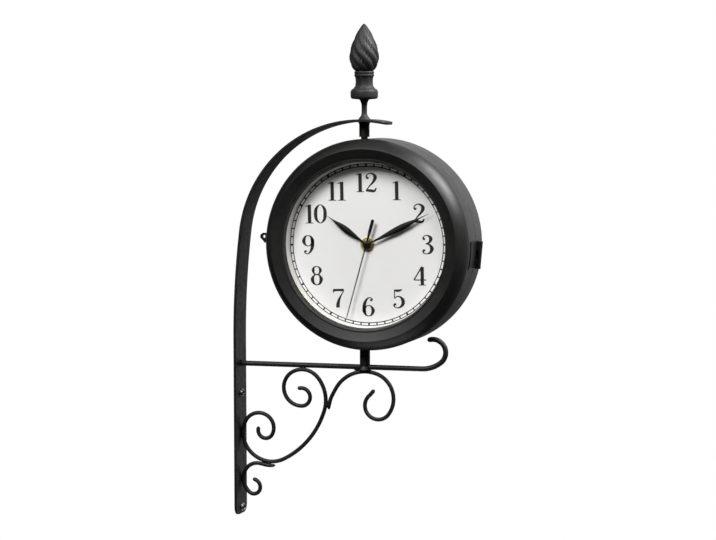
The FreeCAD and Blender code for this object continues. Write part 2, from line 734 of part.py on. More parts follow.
def makeLug(side):
    """A drilled lug at the free edge; the two holes line up when the case is shut."""
    body = newBody(side + "_catch_lug", lambda target: None)
    centre = (dim.axisOut + dim.caseSide, dim.clockRise + 5)
    lift = dim.seamGap / 2 if side == "front" else -(dim.lugThick + dim.seamGap / 2)
    sketch = newSketch(body, "XZ_Plane", lift - dim.seamBack)
    head = -(dim.caseRadius + dim.lugReach)
    root = -(dim.caseRadius) + 0.35
    outline(sketch, [
        (centre[0] + root, centre[1] + 4.6),
        (centre[0] + root - 3, centre[1] + 3.9),
        (centre[0] + head + 1.4, centre[1] + dim.lugRadius * 0.9),
        (centre[0] + head - 1.4, centre[1] + dim.lugRadius * 0.9),
        (centre[0] + head - dim.lugRadius, centre[1] + 1.4),
        (centre[0] + head - dim.lugRadius, centre[1] - 1.2),
        (centre[0] + head - 1.2, centre[1] - dim.lugRadius),
        (centre[0] + head + 0.6, centre[1] - dim.lugRadius - 2.4),
        (centre[0] + head + 3.4, centre[1] - dim.lugRadius - 1.6),
        (centre[0] + root - 1.5, centre[1] - 5.6),
        (centre[0] + root, centre[1] - 7.4),
    ])
    circle(sketch, centre[0] + head, centre[1], dim.lugHole)
    pad(body, sketch, dim.lugThick)


# ---------------------------------------------------------------- movement

def toothed(spot, teeth, distance, pairTeeth, bottom, top, aim):
    """A toothed wheel between two heights with one tooth pointing along aim degrees."""
    module = 2 * distance / (teeth + pairTeeth)
    pitch = module * teeth / 2
    tip = pitch + 0.65 * module
    root = pitch - 0.95 * module
    share = 360.0 / teeth
    points = []
    for tooth in range(teeth):
        middle = aim + tooth * share
        for radius, width in ((root, 0.23), (tip, 0.08)):
            points.append((radius, middle - width * share))
        for radius, width in ((tip, 0.08), (root, 0.23)):
            points.append((radius, middle + width * share))
    spots = [FreeCAD.Vector(*polar(radius, turn, spot), bottom) for radius, turn in points]
    face = Part.Face(Part.makePolygon(spots + spots[:1]))
    return face.extrude(FreeCAD.Vector(0, 0, top - bottom))


def rounds(spot, steps):
    """Stacked cylinders on one axis: (radius, bottom, top)."""
    return [Part.makeCylinder(radius, top - bottom, FreeCAD.Vector(spot[0], spot[1], bottom))
            for radius, bottom, top in steps]


def wheel(name, side, spot, gears, steps, bores=()):
    """A wheel, its pinion and its arbor as one moulded piece."""
    pieces = [toothed(spot, *gear) for gear in gears] + rounds(spot, steps)
    shape = pieces[0].fuse(pieces[1:])
    for bore in rounds(spot, bores):
        shape = shape.cut(bore)
    solidFeature(side + "_" + name, shape.removeSplitter(), onMovement(side))


def polar(distance, angle, origin=(0, 0)):
    turn = math.radians(angle)
    return origin[0] + distance * math.cos(turn), origin[1] + distance * math.sin(turn)


THIRD_TURN, MINUTE_TURN, DRIVE_TURN, ROTOR_TURN = 150, 60, 0, 60


def makeTrain(side):
    """The wheels between the step motor and the three hands."""
    train = float(dim.trainDistance)
    drive = float(dim.driveDistance)
    rotor = float(dim.rotorDistance)
    third = polar(train, THIRD_TURN)
    minute = polar(train, MINUTE_TURN)
    middle = polar(drive, DRIVE_TURN)
    motor = polar(rotor, ROTOR_TURN, middle)
    hour = float(dim.hourDepth + dim.handThick - dim.moveBack)
    minuteTop = float(dim.minuteDepth + dim.handThick - dim.moveBack)
    secondTop = float(dim.secondDepth - dim.moveBack)

    wheel("seconds_wheel", side, (0, 0), [
        (48, drive, 8, 3.9, 4.7, DRIVE_TURN),
        (6, train, 48, 5.0, 6.5, THIRD_TURN)],
        [(0.8, 1.5, secondTop)])
    wheel("third_wheel", side, third, [
        (48, train, 6, 5.3, 6.1, THIRD_TURN + 180 + 3.75),
        (6, train, 45, 7.1, 8.7, THIRD_TURN + 180 + 30)],
        [(0.6, 1.5, 13.3)])
    wheel("centre_wheel", side, (0, 0), [
        (45, train, 6, 7.5, 8.3, THIRD_TURN),
        (10, train, 30, 9.3, 10.9, MINUTE_TURN)],
        [(1.66, 7.3, minuteTop)], [(0.86, 6.7, 28.7)])
    wheel("setting_wheel", side, minute, [
        (30, train, 10, 9.6, 10.6, MINUTE_TURN + 180 + 6),
        (8, train, 32, 10.6, 12.6, MINUTE_TURN + 180 + 22.5)],
        [(0.6, -1.9, 13.3), (5.0, -4.9, -1.7)])
    wheel("hour_wheel", side, (0, 0), [
        (32, train, 8, 11.4, 12.3, MINUTE_TURN)],
        [(2.5, 11.2, hour)], [(1.74, 10.7, 28.7)])
    wheel("intermediate_wheel", side, middle, [
        (8, drive, 48, 3.6, 5.0, DRIVE_TURN + 180 + 22.5),
        (40, rotor, 8, 2.3, 2.9, ROTOR_TURN)],
        [(0.5, 1.5, 13.3)])
    wheel("rotor", side, motor, [
        (8, rotor, 40, 2.0, 3.3, ROTOR_TURN + 180 + 22.5)],
        [(0.5, 1.5, 13.3), (3.0, 5.5, 8.5)])
    makeMotor(side, motor)


def makeMotor(side, motor):
    """The coil on its bobbin with the stator plate round the rotor, and the circuit board."""
    coilOut = 21.5
    coil = Part.makeCylinder(3.2, 17, FreeCAD.Vector(coilOut, 4, 7.3), FreeCAD.Vector(0, 1, 0))
    for low in (3.0, 21.0):
        coil = coil.fuse(Part.makeBox(7, 1.2, 7.6, FreeCAD.Vector(coilOut - 3.5, low, 3.5)))
    plate = Part.makeBox(13.2, 8.6, 0.9, FreeCAD.Vector(10.6, motor[1] - 4.3, 11.1))
    setting = polar(float(dim.trainDistance), MINUTE_TURN)
    for spot, radius in ((motor, 1.0), (setting, 9.4)):
        plate = plate.cut(Part.makeCylinder(radius, 10, FreeCAD.Vector(spot[0], spot[1], 3.7)))
    both = Part.makeCompound([coil.removeSplitter(), plate.Solids[0]])
    solidFeature(side + "_motor_coil", both, onMovement(side))
    board = Part.makeBox(15, 12, 0.8, FreeCAD.Vector(-25.5, 13.5, 1.9))
    chip = Part.makeCylinder(2.6, 1.2, FreeCAD.Vector(-18, 19.5, 2.7))
    solidFeature(side + "_circuit_board", board.fuse(chip), onMovement(side))


def makeMovement(side):
    """Tray, cover, bush fixings, cell and contacts of one movement."""
    place = onSide(side)
    half = dim.moveSide / 2
    body = newBody(side + "_movement_tray", place)
    base = newSketch(body, "XY_Plane", dim.moveBack)
    outline(base, [(-half, -half), (half, -half), (half, half), (-half, half)])
    pad(body, base, dim.moveFront - dim.moveBack)
    doc.recompute()
    inner = half - dim.moveWall
    split = -11.0
    for bottom, top in ((-inner, split - 0.5), (split + 0.5, inner)):
        room = newSketch(body, "XY_Plane", dim.moveBack)
        outline(room, [(-inner, bottom), (inner, bottom), (inner, top), (-inner, top)])
        hollow = body.newObject("PartDesign::Pocket", "Room_" + body.Label)
        hollow.Profile = room
        hollow.Reversed = True
        bind(hollow, "Length", dim.moveFront - dim.moveBack - dim.moveWall)
        doc.recompute()
    stub = newSketch(body, "XY_Plane", dim.moveFront)
    circle(stub, 0, 0, dim.bushRadius)
    pad(body, stub, dim.bushTop - dim.moveFront)
    doc.recompute()
    bore = newSketch(body, "XY_Plane", dim.bushTop)
    circle(bore, 0, 0, dim.bushBore)
    drilled = body.newObject("PartDesign::Pocket", "Bore_" + body.Label)
    drilled.Profile = bore
    bind(drilled, "Length", dim.bushTop - dim.moveFront + dim.moveWall + 0.5)

    cover = newBody(side + "_movement_cover", place)
    sketch = newSketch(cover, "XY_Plane", dim.moveBack - dim.coverThick - 0.02)
    outline(sketch, [(-half, split), (half, split), (half, half), (-half, half)])
    spot = polar(float(dim.trainDistance), MINUTE_TURN)
    circle(sketch, spot[0], spot[1], asSize(0.68))
    pad(cover, sketch, dim.coverThick)

    face = dim.dialDepth + 0.02
    turned(side + "_dial_washer", [
        (dim.bushRadius + 0.05, face),
        (dim.washerRadius, face),
        (dim.washerRadius, face + dim.washerThick),
        (dim.bushRadius + 0.05, face + dim.washerThick),
    ], place)
    nut = newBody(side + "_dial_nut", place)
    sketch = newSketch(nut, "XY_Plane", face + dim.washerThick + 0.01)
    turns = [math.radians(turn) for turn in range(0, 360, 60)]
    outline(sketch, [(dim.nutRadius * math.cos(turn), dim.nutRadius * math.sin(turn)) for turn in turns])
    circle(sketch, 0, 0, dim.bushRadius + 0.01)
    pad(nut, sketch, dim.nutThick)
    makeBattery(side)


def makeBattery(side):
    """The penlight cell and the two spring contacts in its bay."""
    radius = float(dim.batteryRadius)
    length = float(dim.batteryLength)
    across = FreeCAD.Vector(1, 0, 0)
    low, deep = -19.6, 6.6
    cell = Part.makeCylinder(radius, length, FreeCAD.Vector(-length / 2 - 0.3, low, deep), across)
    nub = Part.makeCylinder(2.7, 1.0, FreeCAD.Vector(length / 2 - 0.3, low, deep), across)
    solidFeature(side + "_battery", cell.fuse(nub), onMovement(side))
    clips = []
    for start in (-26.8, 26.0):
        clips.append(Part.makeBox(0.6, 10, 11, FreeCAD.Vector(start, low - 5, deep - 5.5)))
    solidFeature(side + "_contacts", Part.makeCompound(clips), onMovement(side))


# ---------------------------------------------------------------- hands

def handBody(name, side, angle, depth, points, hub, bore):
    """A flat hand: hub disc, then the leaf turned to its place on the dial."""
    body = newBody(side + "_" + name, onSide(side))
    swing = FreeCAD.Rotation(FreeCAD.Vector(0, 0, 1), -float(angle))
    body.Placement = FreeCAD.Placement(body.Placement.Base, SIDE_TURN[side] * swing)
    blade = newSketch(body, "XY_Plane", depth)
    outline(blade, points)
    pad(body, blade, dim.handThick)
    doc.recompute()
    disc = newSketch(body, "XY_Plane", depth)
    circle(disc, 0, 0, hub)
    pad(body, disc, dim.handThick)
    doc.recompute()
    if bore is not None:
        eye = newSketch(body, "XY_Plane", depth)
        circle(eye, 0, 0, bore)
        hole = body.newObject("PartDesign::Pocket", "Eye_" + body.Label)
        hole.Profile = eye
        hole.Reversed = True
        bind(hole, "Length", dim.handThick + 1)
    return body


def leafPoints(length, hub):
    """Narrow at the hub, widest past the middle, then a needle tip."""
    wide = dim.leafHandWidth / 2
    right = [(0.7, 0), (0.7, hub), (wide * 0.62, length * 0.3), (wide, length * 0.52),
             (wide * 0.7, length * 0.68), (0.45, length * 0.82), (0.2, length)]
    left = [(-(asSize(x)), y) for x, y in reversed(right)]
    return [(asSize(x), y) for x, y in right] + left


def makeHands(side):
    handBody("hour_hand", side, dim.hourAngle, dim.hourDepth,
             leafPoints(dim.hourLength, asSize(3.4)), asSize(3.7), asSize(2.5))
    handBody("minute_hand", side, dim.minuteAngle, dim.minuteDepth,
             leafPoints(dim.minuteLength, asSize(3.2)), asSize(3.5), asSize(1.66))
    reach = dim.secondLength
    tail = -(dim.secondTail)
    body = handBody("second_hand", side, dim.secondAngle, dim.secondDepth, [
        (-0.45, 0), (-1.5, tail * 0.25), (-1.5, tail), (1.5, tail), (1.5, tail * 0.25),
        (0.45, 0), (0.3, reach), (-0.3, reach)], asSize(3.3), None)
    cap = newSketch(body, "XY_Plane", dim.secondDepth + dim.handThick)
    circle(cap, 0, 0, asSize(3.0))
    pad(body, cap, 0.6)


# ---------------------------------------------------------------- build, check and write

makeStrap()
makeEyelets()
makeRod()
makeScrolls()
makePosts()
makePivotNuts()
makeFinial()
makeHinge()
for face in ("front", "rear"):
    makeShell(face)
    makeFace(face)
    makeLug(face)
    makeMovement(face)
    makeTrain(face)
    makeHands(face)
doc.recompute()

faults = [item.Label for item in doc.Objects if "Invalid" in item.State or "Error" in item.State]
for node in nodes:
    if node.Shape.isNull() or not node.Shape.isValid() or not node.Shape.Solids:
        faults.append(node.Label + " has no valid solid")
if faults:
    raise RuntimeError("not built: " + ", ".join(faults))

os.makedirs("parts", exist_ok=True)
for node in nodes:
    node.Shape.exportStep("parts/%s.step" % node.Label)
    print("%-26s %9.1f mm3, solids %d" % (node.Label, node.Shape.Volume, len(node.Shape.Solids)))
print(len(nodes), "nodes")
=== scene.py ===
import math

import bmesh
import bpy
from mathutils import Matrix, Quaternion, Vector


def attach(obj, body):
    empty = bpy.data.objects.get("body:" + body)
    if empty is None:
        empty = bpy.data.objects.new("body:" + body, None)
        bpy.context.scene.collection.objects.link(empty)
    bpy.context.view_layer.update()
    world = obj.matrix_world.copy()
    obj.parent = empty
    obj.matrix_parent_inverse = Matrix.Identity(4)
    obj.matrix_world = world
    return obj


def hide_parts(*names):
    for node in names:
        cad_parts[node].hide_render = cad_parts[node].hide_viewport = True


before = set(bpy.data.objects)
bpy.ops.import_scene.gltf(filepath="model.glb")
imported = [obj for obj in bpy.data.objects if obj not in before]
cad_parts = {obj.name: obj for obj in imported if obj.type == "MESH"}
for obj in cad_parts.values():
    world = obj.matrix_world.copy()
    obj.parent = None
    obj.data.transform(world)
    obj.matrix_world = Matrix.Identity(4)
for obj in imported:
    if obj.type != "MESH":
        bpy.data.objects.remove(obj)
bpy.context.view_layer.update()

scene = bpy.context.scene
scene.view_settings.view_transform = "Standard"
print("clock: frame loaded,", len(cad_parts), "nodes")

mm = 0.001
postAxis = Vector((0.127, 0, 0.201))         # axis of the posts at the clock's middle height
caseCentre = Vector((0.1322, 0.013, 0.201))  # on the seam between the two halves
faceUp = Matrix.Rotation(math.radians(90), 4, "X")
millimetres = Matrix.Scale(mm, 4)
sidePlace = {
    "front": Matrix.Translation(caseCentre) @ faceUp @ millimetres,
    "rear": Matrix.Translation(caseCentre) @ Matrix.Rotation(math.pi, 4, "Z") @ faceUp @ millimetres,
}
sideBody = {"front": "case", "rear": "rear_door"}
bracketPlace = Matrix.Translation(postAxis) @ millimetres

# fitted to the photo: angles in degrees, distance from the posts' axis in metres
camera = {"azimuth": 16.71, "elevation": 3.72, "roll": -0.149, "distance": 2.18,
          "lens": 116.1, "shiftX": -0.0093, "shiftY": -0.0362}


def makeCamera():
    data = bpy.data.cameras.new("photoCamera")
    data.sensor_width = 36
    data.lens = camera["lens"]
    data.shift_x = camera["shiftX"]
    data.shift_y = camera["shiftY"]
    data.clip_end = 30
    cam = bpy.data.objects.new("photoCamera", data)
    scene.collection.objects.link(cam)
    a, e = math.radians(camera["azimuth"]), math.radians(camera["elevation"])
    back = Vector((math.sin(a) * math.cos(e), -math.cos(a) * math.cos(e), math.sin(e)))
    cam.location = postAxis + back * camera["distance"]
    cam.rotation_mode = "QUATERNION"
    roll = Quaternion(back, math.radians(camera["roll"]))
    cam.rotation_quaternion = roll @ (-back).to_track_quat("-Z", "Y")
    scene.camera = cam


makeCamera()


# materials: every pattern reads Object coordinates, in metres

def newMaterial(name):
    mat = bpy.data.materials.new(name)
    mat.use_nodes = True
    return mat, mat.node_tree, mat.node_tree.nodes["Principled BSDF"]


def addNode(tree, kind, **values):
    node = tree.nodes.new(kind)
    for key, value in values.items():
        if key in node.inputs:
            node.inputs[key].default_value = value
        else:
            setattr(node, key, value)
    return node


def objectPoint(tree):
    return tree.nodes.new("ShaderNodeTexCoord").outputs["Object"]


def noise(tree, point, scale, detail=4, rough=0.55):
    node = addNode(tree, "ShaderNodeTexNoise", Scale=scale, Detail=detail, Roughness=rough)
    tree.links.new(point, node.inputs["Vector"])
    return node.outputs["Fac"]


def ramp(tree, factor, stops):
    node = tree.nodes.new("ShaderNodeValToRGB")
    elements = node.color_ramp.elements
    while len(elements) < len(stops):
        elements.new(0.5)
    for element, (place, colour) in zip(elements, stops):
        element.position = place
        element.color = (*colour, 1)
    tree.links.new(factor, node.inputs["Fac"])
    return node.outputs["Color"]


def spread(tree, factor, target, source=(0.3, 0.7)):
    # maps the source range onto the target range
    node = tree.nodes.new("ShaderNodeMapRange")
    for label, value in zip(("From Min", "From Max", "To Min", "To Max"), (*source, *target)):
        node.inputs[label].default_value = value
    tree.links.new(factor, node.inputs["Value"])
    return node.outputs["Result"]


def blendColours(tree, factor, below, above):
    # from one socket's colour to a fixed colour
    node = tree.nodes.new("ShaderNodeMix")
    node.data_type = "RGBA"
    tree.links.new(factor, node.inputs["Factor"])
    tree.links.new(below, node.inputs["A"])
    node.inputs["B"].default_value = (*above, 1)
    return node.outputs["Result"]


def bumpy(tree, shader, layers):
    # layers of (height, strength, distance)
    last = None
    for factor, strength, distance in layers:
        node = addNode(tree, "ShaderNodeBump", Strength=strength, Distance=distance)
        tree.links.new(factor, node.inputs["Height"])
        if last:
            tree.links.new(last, node.inputs["Normal"])
        last = node.outputs["Normal"]
    tree.links.new(last, shader.inputs["Normal"])


def coat(tree, shader, colour, rough):
    tree.links.new(colour, shader.inputs["Base Color"])
    tree.links.new(rough, shader.inputs["Roughness"])


def paintMaterial(name, dark, light, gloss, grain, grainDepth, waves, waveDepth, dust):
    # dark and light drift over the part, dust flecks sit on top, grain is the powder coat
    mat, tree, shader = newMaterial(name)
    shader.inputs["Specular IOR Level"].default_value = 0.3
    point = objectPoint(tree)
    drift = ramp(tree, noise(tree, point, 28, 5), [(0.35, dark), (0.68, light)])
    flecks = spread(tree, noise(tree, point, 1900, 3, 0.7), (0, dust), (0.62, 0.74))
    dusty = blendColours(tree, flecks, drift, (0.32, 0.31, 0.29))
    coat(tree, shader, dusty, spread(tree, noise(tree, point, 160, 4), gloss))
    bumpy(tree, shader, [
        (noise(tree, point, waves, 3), waveDepth, 0.0006),
        (noise(tree, point, grain, 2, 0.6), grainDepth, 0.00012),
    ])
    return mat


def plasticMaterial(name, colour, gloss, grain=900, depth=0.12):
    mat, tree, shader = newMaterial(name)
    point = objectPoint(tree)
    lighter = tuple(min(1, c * 1.12 + 0.004) for c in colour)
    darker = tuple(c * 0.88 for c in colour)
    mottled = ramp(tree, noise(tree, point, 55, 4), [(0.3, darker), (0.7, lighter)])
    coat(tree, shader, mottled, spread(tree, noise(tree, point, 240, 3), gloss))
    bumpy(tree, shader, [(noise(tree, point, grain, 3), depth, 0.0001)])
    return mat


def metalMaterial(name, colour, gloss):
    mat, tree, shader = newMaterial(name)
    shader.inputs["Metallic"].default_value = 1.0
    point = objectPoint(tree)
    duller = tuple(c * 0.72 for c in colour)
    tarnished = ramp(tree, noise(tree, point, 180, 5), [(0.28, duller), (0.6, colour)])
    coat(tree, shader, tarnished, spread(tree, noise(tree, point, 1400, 4), gloss))
    bumpy(tree, shader, [(noise(tree, point, 1400, 3), 0.08, 0.00008)])
    return mat


def windingMaterial():
    # wound copper wire, a turn for each band of the wave
    mat, tree, shader = newMaterial("copperWinding")
    shader.inputs["Metallic"].default_value = 0.85
    shader.inputs["Roughness"].default_value = 0.32
    wave = addNode(tree, "ShaderNodeTexWave", Scale=900, Distortion=0.6, bands_direction="Z")
    tree.links.new(objectPoint(tree), wave.inputs["Vector"])
    # each band runs from dark brown in the groove between turns to bright copper on the wire's crown; the
    # dark brown is painted shade in the grooves
    turnsWithGrooveShade = ramp(tree, wave.outputs["Fac"], [(0.1, (0.16, 0.05, 0.02)), (0.7, (0.62, 0.27, 0.12))])
    tree.links.new(turnsWithGrooveShade, shader.inputs["Base Color"])
    bumpy(tree, shader, [(wave.outputs["Fac"], 0.5, 0.0001)])
    return mat


def boardMaterial():
    # green lacquer with fine copper tracks between the cells
    mat, tree, shader = newMaterial("boardGreen")
    point = objectPoint(tree)
    cells = addNode(tree, "ShaderNodeTexBrick", Scale=420)
    cells.inputs["Color1"].default_value = (0.02, 0.12, 0.05, 1)
    cells.inputs["Color2"].default_value = (0.025, 0.16, 0.07, 1)
    cells.inputs["Mortar"].default_value = (0.25, 0.2, 0.08, 1)
    cells.inputs["Mortar Size"].default_value = 0.012
    tree.links.new(point, cells.inputs["Vector"])
    coat(tree, shader, cells.outputs["Color"], spread(tree, noise(tree, point, 300), (0.25, 0.45)))
    bumpy(tree, shader, [(cells.outputs["Fac"], 0.2, 0.0001)])
    return mat


def glassMaterial():
    mat, tree, shader = newMaterial("lensGlass")
    smears = spread(tree, noise(tree, objectPoint(tree), 22, 5), (0.015, 0.06))
    tree.links.new(smears, shader.inputs["Roughness"])
    shader.inputs["Base Color"].default_value = (0.004, 0.005, 0.005, 1)
    shader.inputs["Alpha"].default_value = 0.05
    shader.inputs["IOR"].default_value = 1.5
    return mat


def dialMaterial(name, pale, shade):
    mat, tree, shader = newMaterial(name)
    point = objectPoint(tree)
    tone = ramp(tree, noise(tree, point, 16, 4), [(0.3, shade), (0.7, pale)])
    specks = spread(tree, noise(tree, point, 2600, 2, 0.7), (0, 0.05), (0.64, 0.75))
    speckled = blendColours(tree, specks, tone, (0.42, 0.4, 0.36))
    coat(tree, shader, speckled, spread(tree, noise(tree, point, 90), (0.5, 0.62)))
    bumpy(tree, shader, [(noise(tree, point, 3000, 2), 0.05, 0.00005)])
    return mat


def jacketMaterial():
    # a plain two-colour cell jacket; its bands follow X over the length of the cell
    mat, tree, shader = newMaterial("cellJacket")
    point = objectPoint(tree)
    split = tree.nodes.new("ShaderNodeSeparateXYZ")
    tree.links.new(point, split.inputs["Vector"])
    bands = ramp(tree, spread(tree, split.outputs["X"], (0, 1), (0.105, 0.155)),
                 [(0.24, (0.025, 0.03, 0.035)), (0.27, (0.5, 0.5, 0.5)), (0.29, (0.14, 0.2, 0.27))])
    coat(tree, shader, bands, spread(tree, noise(tree, point, 300), (0.18, 0.32)))
    bumpy(tree, shader, [(noise(tree, point, 500), 0.04, 0.0001)])
    return mat


finish = {
    "bracket": paintMaterial("bracketPaint", dark=(0.003, 0.003, 0.0026), light=(0.0075, 0.0075, 0.0066),
                             gloss=(0.46, 0.6), grain=1500, grainDepth=0.35, waves=120, waveDepth=0.25,
                             dust=0.07),
    "finial": paintMaterial("castPaint", dark=(0.006, 0.0063, 0.006), light=(0.015, 0.0154, 0.015),
                            gloss=(0.5, 0.66), grain=1100, grainDepth=0.6, waves=260, waveDepth=0.35,
                            dust=0.16),
    "case": paintMaterial("casePaint", dark=(0.005, 0.005, 0.0048), light=(0.0095, 0.0095, 0.0091),
                          gloss=(0.38, 0.46), grain=2200, grainDepth=0.12, waves=40, waveDepth=0.03,
                          dust=0.05),
    "hand": paintMaterial("handPaint", dark=(0.004, 0.004, 0.004), light=(0.008, 0.008, 0.008),
                          gloss=(0.3, 0.42), grain=2400, grainDepth=0.08, waves=60, waveDepth=0.02,
                          dust=0.02),
    "dial": dialMaterial("dialWhite", pale=(0.9, 0.895, 0.88), shade=(0.86, 0.855, 0.84)),
    # the spacer ring is white like the dial; its darker grey colour is painted shade, for the shadow the
    # bezel casts on its inner wall
    "ring": dialMaterial("spacerPaintedShade", pale=(0.72, 0.71, 0.67), shade=(0.64, 0.63, 0.59)),
    "ink": plasticMaterial("dialInk", (0.006, 0.006, 0.006), gloss=(0.5, 0.62), grain=2000, depth=0.05),
    "tray": plasticMaterial("trayPlastic", (0.02, 0.02, 0.02), gloss=(0.45, 0.6)),
    "wheel": plasticMaterial("wheelPlastic", (0.78, 0.75, 0.66), gloss=(0.35, 0.5)),
    "brass": metalMaterial("turnedBrass", (0.95, 0.74, 0.25), gloss=(0.36, 0.5)),
    "steel": metalMaterial("brightSteel", (0.3, 0.3, 0.29), gloss=(0.3, 0.45)),
    "copper": windingMaterial(),
    "board": boardMaterial(),
    "jacket": jacketMaterial(),
    "glass": glassMaterial(),
}
print("clock: materials made")


# mesh helpers, working in millimetres until a piece is placed

def finishPiece(name, bm, place, material, body, replaces=(), sharp=32):
    bmesh.ops.transform(bm, matrix=place, verts=bm.verts)
    mesh = bpy.data.meshes.new(name)
    bm.to_mesh(mesh)
    bm.free()
    mesh.materials.append(finish[material])
    mesh.polygons.foreach_set("use_smooth", [True] * len(mesh.polygons))
    mesh.set_sharp_from_angle(angle=math.radians(sharp))
    piece = bpy.data.objects.new(name, mesh)
    scene.collection.objects.link(piece)
    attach(piece, body)
    if replaces:
        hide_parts(*replaces)
    return piece


def addMesh(bm, other):
    scratch = bpy.data.meshes.new("scratch")
    other.to_mesh(scratch)
    other.free()
    bm.from_mesh(scratch)
    bpy.data.meshes.remove(scratch)


def newVerts(made):
    return [item for item in made["geom"] if isinstance(item, bmesh.types.BMVert)]


def arc(centre, radius, start, end, steps):
    points = []
    for step in range(steps + 1):
        angle = math.radians(start + (end - start) * step / steps)
        points.append((centre[0] + radius * math.cos(angle), centre[1] + radius * math.sin(angle)))
    return points


def eased(points, steps):
    # rounds each corner (x, y, radius) of an open line
    path = []
    for index, point in enumerate(points):
        radius = point[2] if len(point) > 2 else 0
        here = Vector(point[:2])
        if not radius or index in (0, len(points) - 1):
            path.append(tuple(here))
            continue
        before = Vector(points[index - 1][:2]) - here
        after = Vector(points[index + 1][:2]) - here
        first = here + before.normalized() * min(radius, before.length * 0.48)
        last = here + after.normalized() * min(radius, after.length * 0.48)
        for step in range(steps + 1):
            share = step / steps
            path.append(tuple(first.lerp(here, share).lerp(here.lerp(last, share), share)))
    return path


def turned(profile, segments):
    # spins a line of (radius, height) about Z
    bm = bmesh.new()
    verts = [bm.verts.new((radius, 0, height)) for radius, height in profile]
    edges = [bm.edges.new(pair) for pair in zip(verts, verts[1:])]
    bmesh.ops.spin(bm, geom=verts + edges, cent=(0, 0, 0), axis=(0, 0, 1), dvec=(0, 0, 0),
                   angle=math.tau, steps=segments, use_merge=True)
    bmesh.ops.remove_doubles(bm, verts=bm.verts, dist=0.0005)
    bmesh.ops.recalc_face_normals(bm, faces=bm.faces)
    return bm


def walk(start, heading, turns, stride):
    # tangent arcs and straights in X and Z: (radius, degrees to the left), or (length, None)
    x, z = start
    angle = math.radians(heading)
    path = [(x, z, angle)]
    for size, turn in turns:
        if turn is None:
            count = max(1, round(size / (stride * 4)))
            for step in range(count):
                x += size / count * math.cos(angle)
                z += size / count * math.sin(angle)
                path.append((x, z, angle))
            continue
        side = math.copysign(1, turn)
        centreX, centreZ = x - side * size * math.sin(angle), z + side * size * math.cos(angle)
        # a step for each stride, and at least one for each 7 degrees
        count = max(2, round(size * math.radians(abs(turn)) / stride), round(abs(turn) / 7))
        for step in range(1, count + 1):
            here = angle + math.radians(turn) * step / count
            x, z = centreX + side * size * math.sin(here), centreZ - side * size * math.cos(here)
            path.append((x, z, here))
        angle += math.radians(turn)
    return path


def distances(path):
    # how far each spot of a walk is from its start
    run = [0]
    for before, now in zip(path, path[1:]):
        run.append(run[-1] + math.hypot(now[0] - before[0], now[1] - before[1]))
    return run


def sweep(section, path, ratios, flat=False):
    # carries a closed section along the path; the ratios scale it, on a flat bar across it only
    bm = bmesh.new()
    x, z, angle = path[0]
    turnFirst = Matrix.Rotation(-angle, 4, "Y")
    verts = []
    for across, out in section:
        spot = turnFirst @ Vector((0, across * ratios[0], out if flat else out * ratios[0]))
        verts.append(bm.verts.new(spot + Vector((x, 0, z))))
    loop = [bm.edges.new((verts[i], verts[(i + 1) % len(verts)])) for i in range(len(verts))]
    bm.faces.new(verts)
    for index in range(1, len(path)):
        made = bmesh.ops.extrude_edge_only(bm, edges=loop)
        ring = newVerts(made)
        loop = [item for item in made["geom"] if isinstance(item, bmesh.types.BMEdge)
                and all(vert in ring for vert in item.verts)]
        before, now = path[index - 1], path[index]
        spot = Vector((before[0], 0, before[1]))
        bmesh.ops.rotate(bm, verts=ring, cent=spot, matrix=Matrix.Rotation(before[2] - now[2], 3, "Y"))
        bmesh.ops.translate(bm, verts=ring, vec=Vector((now[0], 0, now[1])) - spot)
        change = ratios[index] / ratios[index - 1]
        stretch = Vector((1, change, 1)) if flat else Vector((change, change, change))
        bmesh.ops.scale(bm, verts=ring, vec=stretch, space=Matrix.Translation((-now[0], 0, -now[1])))
    bmesh.ops.contextual_create(bm, geom=loop)
    bmesh.ops.recalc_face_normals(bm, faces=bm.faces)
    return bm


# the wall strap: flat bar with softened edges and rounded corners
strap = {"width": 30.0, "thick": 2.5, "corner": 8.0, "edge": 0.45, "back": -127.0, "foot": -262.5,
         "straightTop": -92.4, "bend": (851.3, -7.0), "arch": (119.74, -95.4), "stride": 4.0,
         "cornerSteps": (0, 0.15, 0.6, 1.4, 2.6, 4.2, 6.0, 8.0),
         "holeGap": 111.0, "hole": 3.2, "drill": 30.0}


def strapPath(thick):
    path = walk((strap["back"] + thick, strap["foot"]), 90,
                [(strap["straightTop"] - strap["foot"], None), strap["bend"], strap["arch"]],
                strap["stride"])
    # finer steps inside the rounded corners at the foot and at the end of the arch
    foot, radius = path[0], strap["arch"][0]
    fine = [(foot[0], foot[1] + step, foot[2]) for step in strap["cornerSteps"]]
    path = fine + [spot for spot in path[1:] if spot[1] > fine[-1][1] + 1]
    end = path.pop()
    centre = Vector((end[0], end[1])) + Vector((math.sin(end[2]), -math.cos(end[2]))) * radius
    while path[-1][0] > end[0] - strap["corner"] - 2:
        path.pop()
    for step in reversed(strap["cornerSteps"]):
        angle = end[2] + step / radius
        out = Vector((-math.sin(angle), math.cos(angle))) * radius
        path.append((centre.x + out.x, centre.y + out.y, angle))
    return path


def drillStrap(piece):
    cutter = bmesh.new()
    hole = strap["hole"] * mm
    lying = Matrix.Rotation(math.pi / 2, 4, "Y")
    for side in (-1, 1):
        spot = Matrix.Translation((0, 0, side * strap["holeGap"] / 2 * mm)) @ lying
        bmesh.ops.create_cone(cutter, cap_ends=True, segments=32, radius1=hole, radius2=hole,
                              depth=strap["drill"] * mm, matrix=spot)
    mesh = bpy.data.meshes.new("drill")
    cutter.to_mesh(mesh)
    cutter.free()
    drill = bpy.data.objects.new("drill", mesh)
    scene.collection.objects.link(drill)
    cut = piece.modifiers.new("holes", "BOOLEAN")
    cut.object = drill
    cut.solver = "EXACT"
    bpy.context.view_layer.update()
    drilled = bpy.data.meshes.new_from_object(piece.evaluated_get(bpy.context.evaluated_depsgraph_get()))
    piece.modifiers.clear()
    piece.data = drilled
    bpy.data.objects.remove(drill)


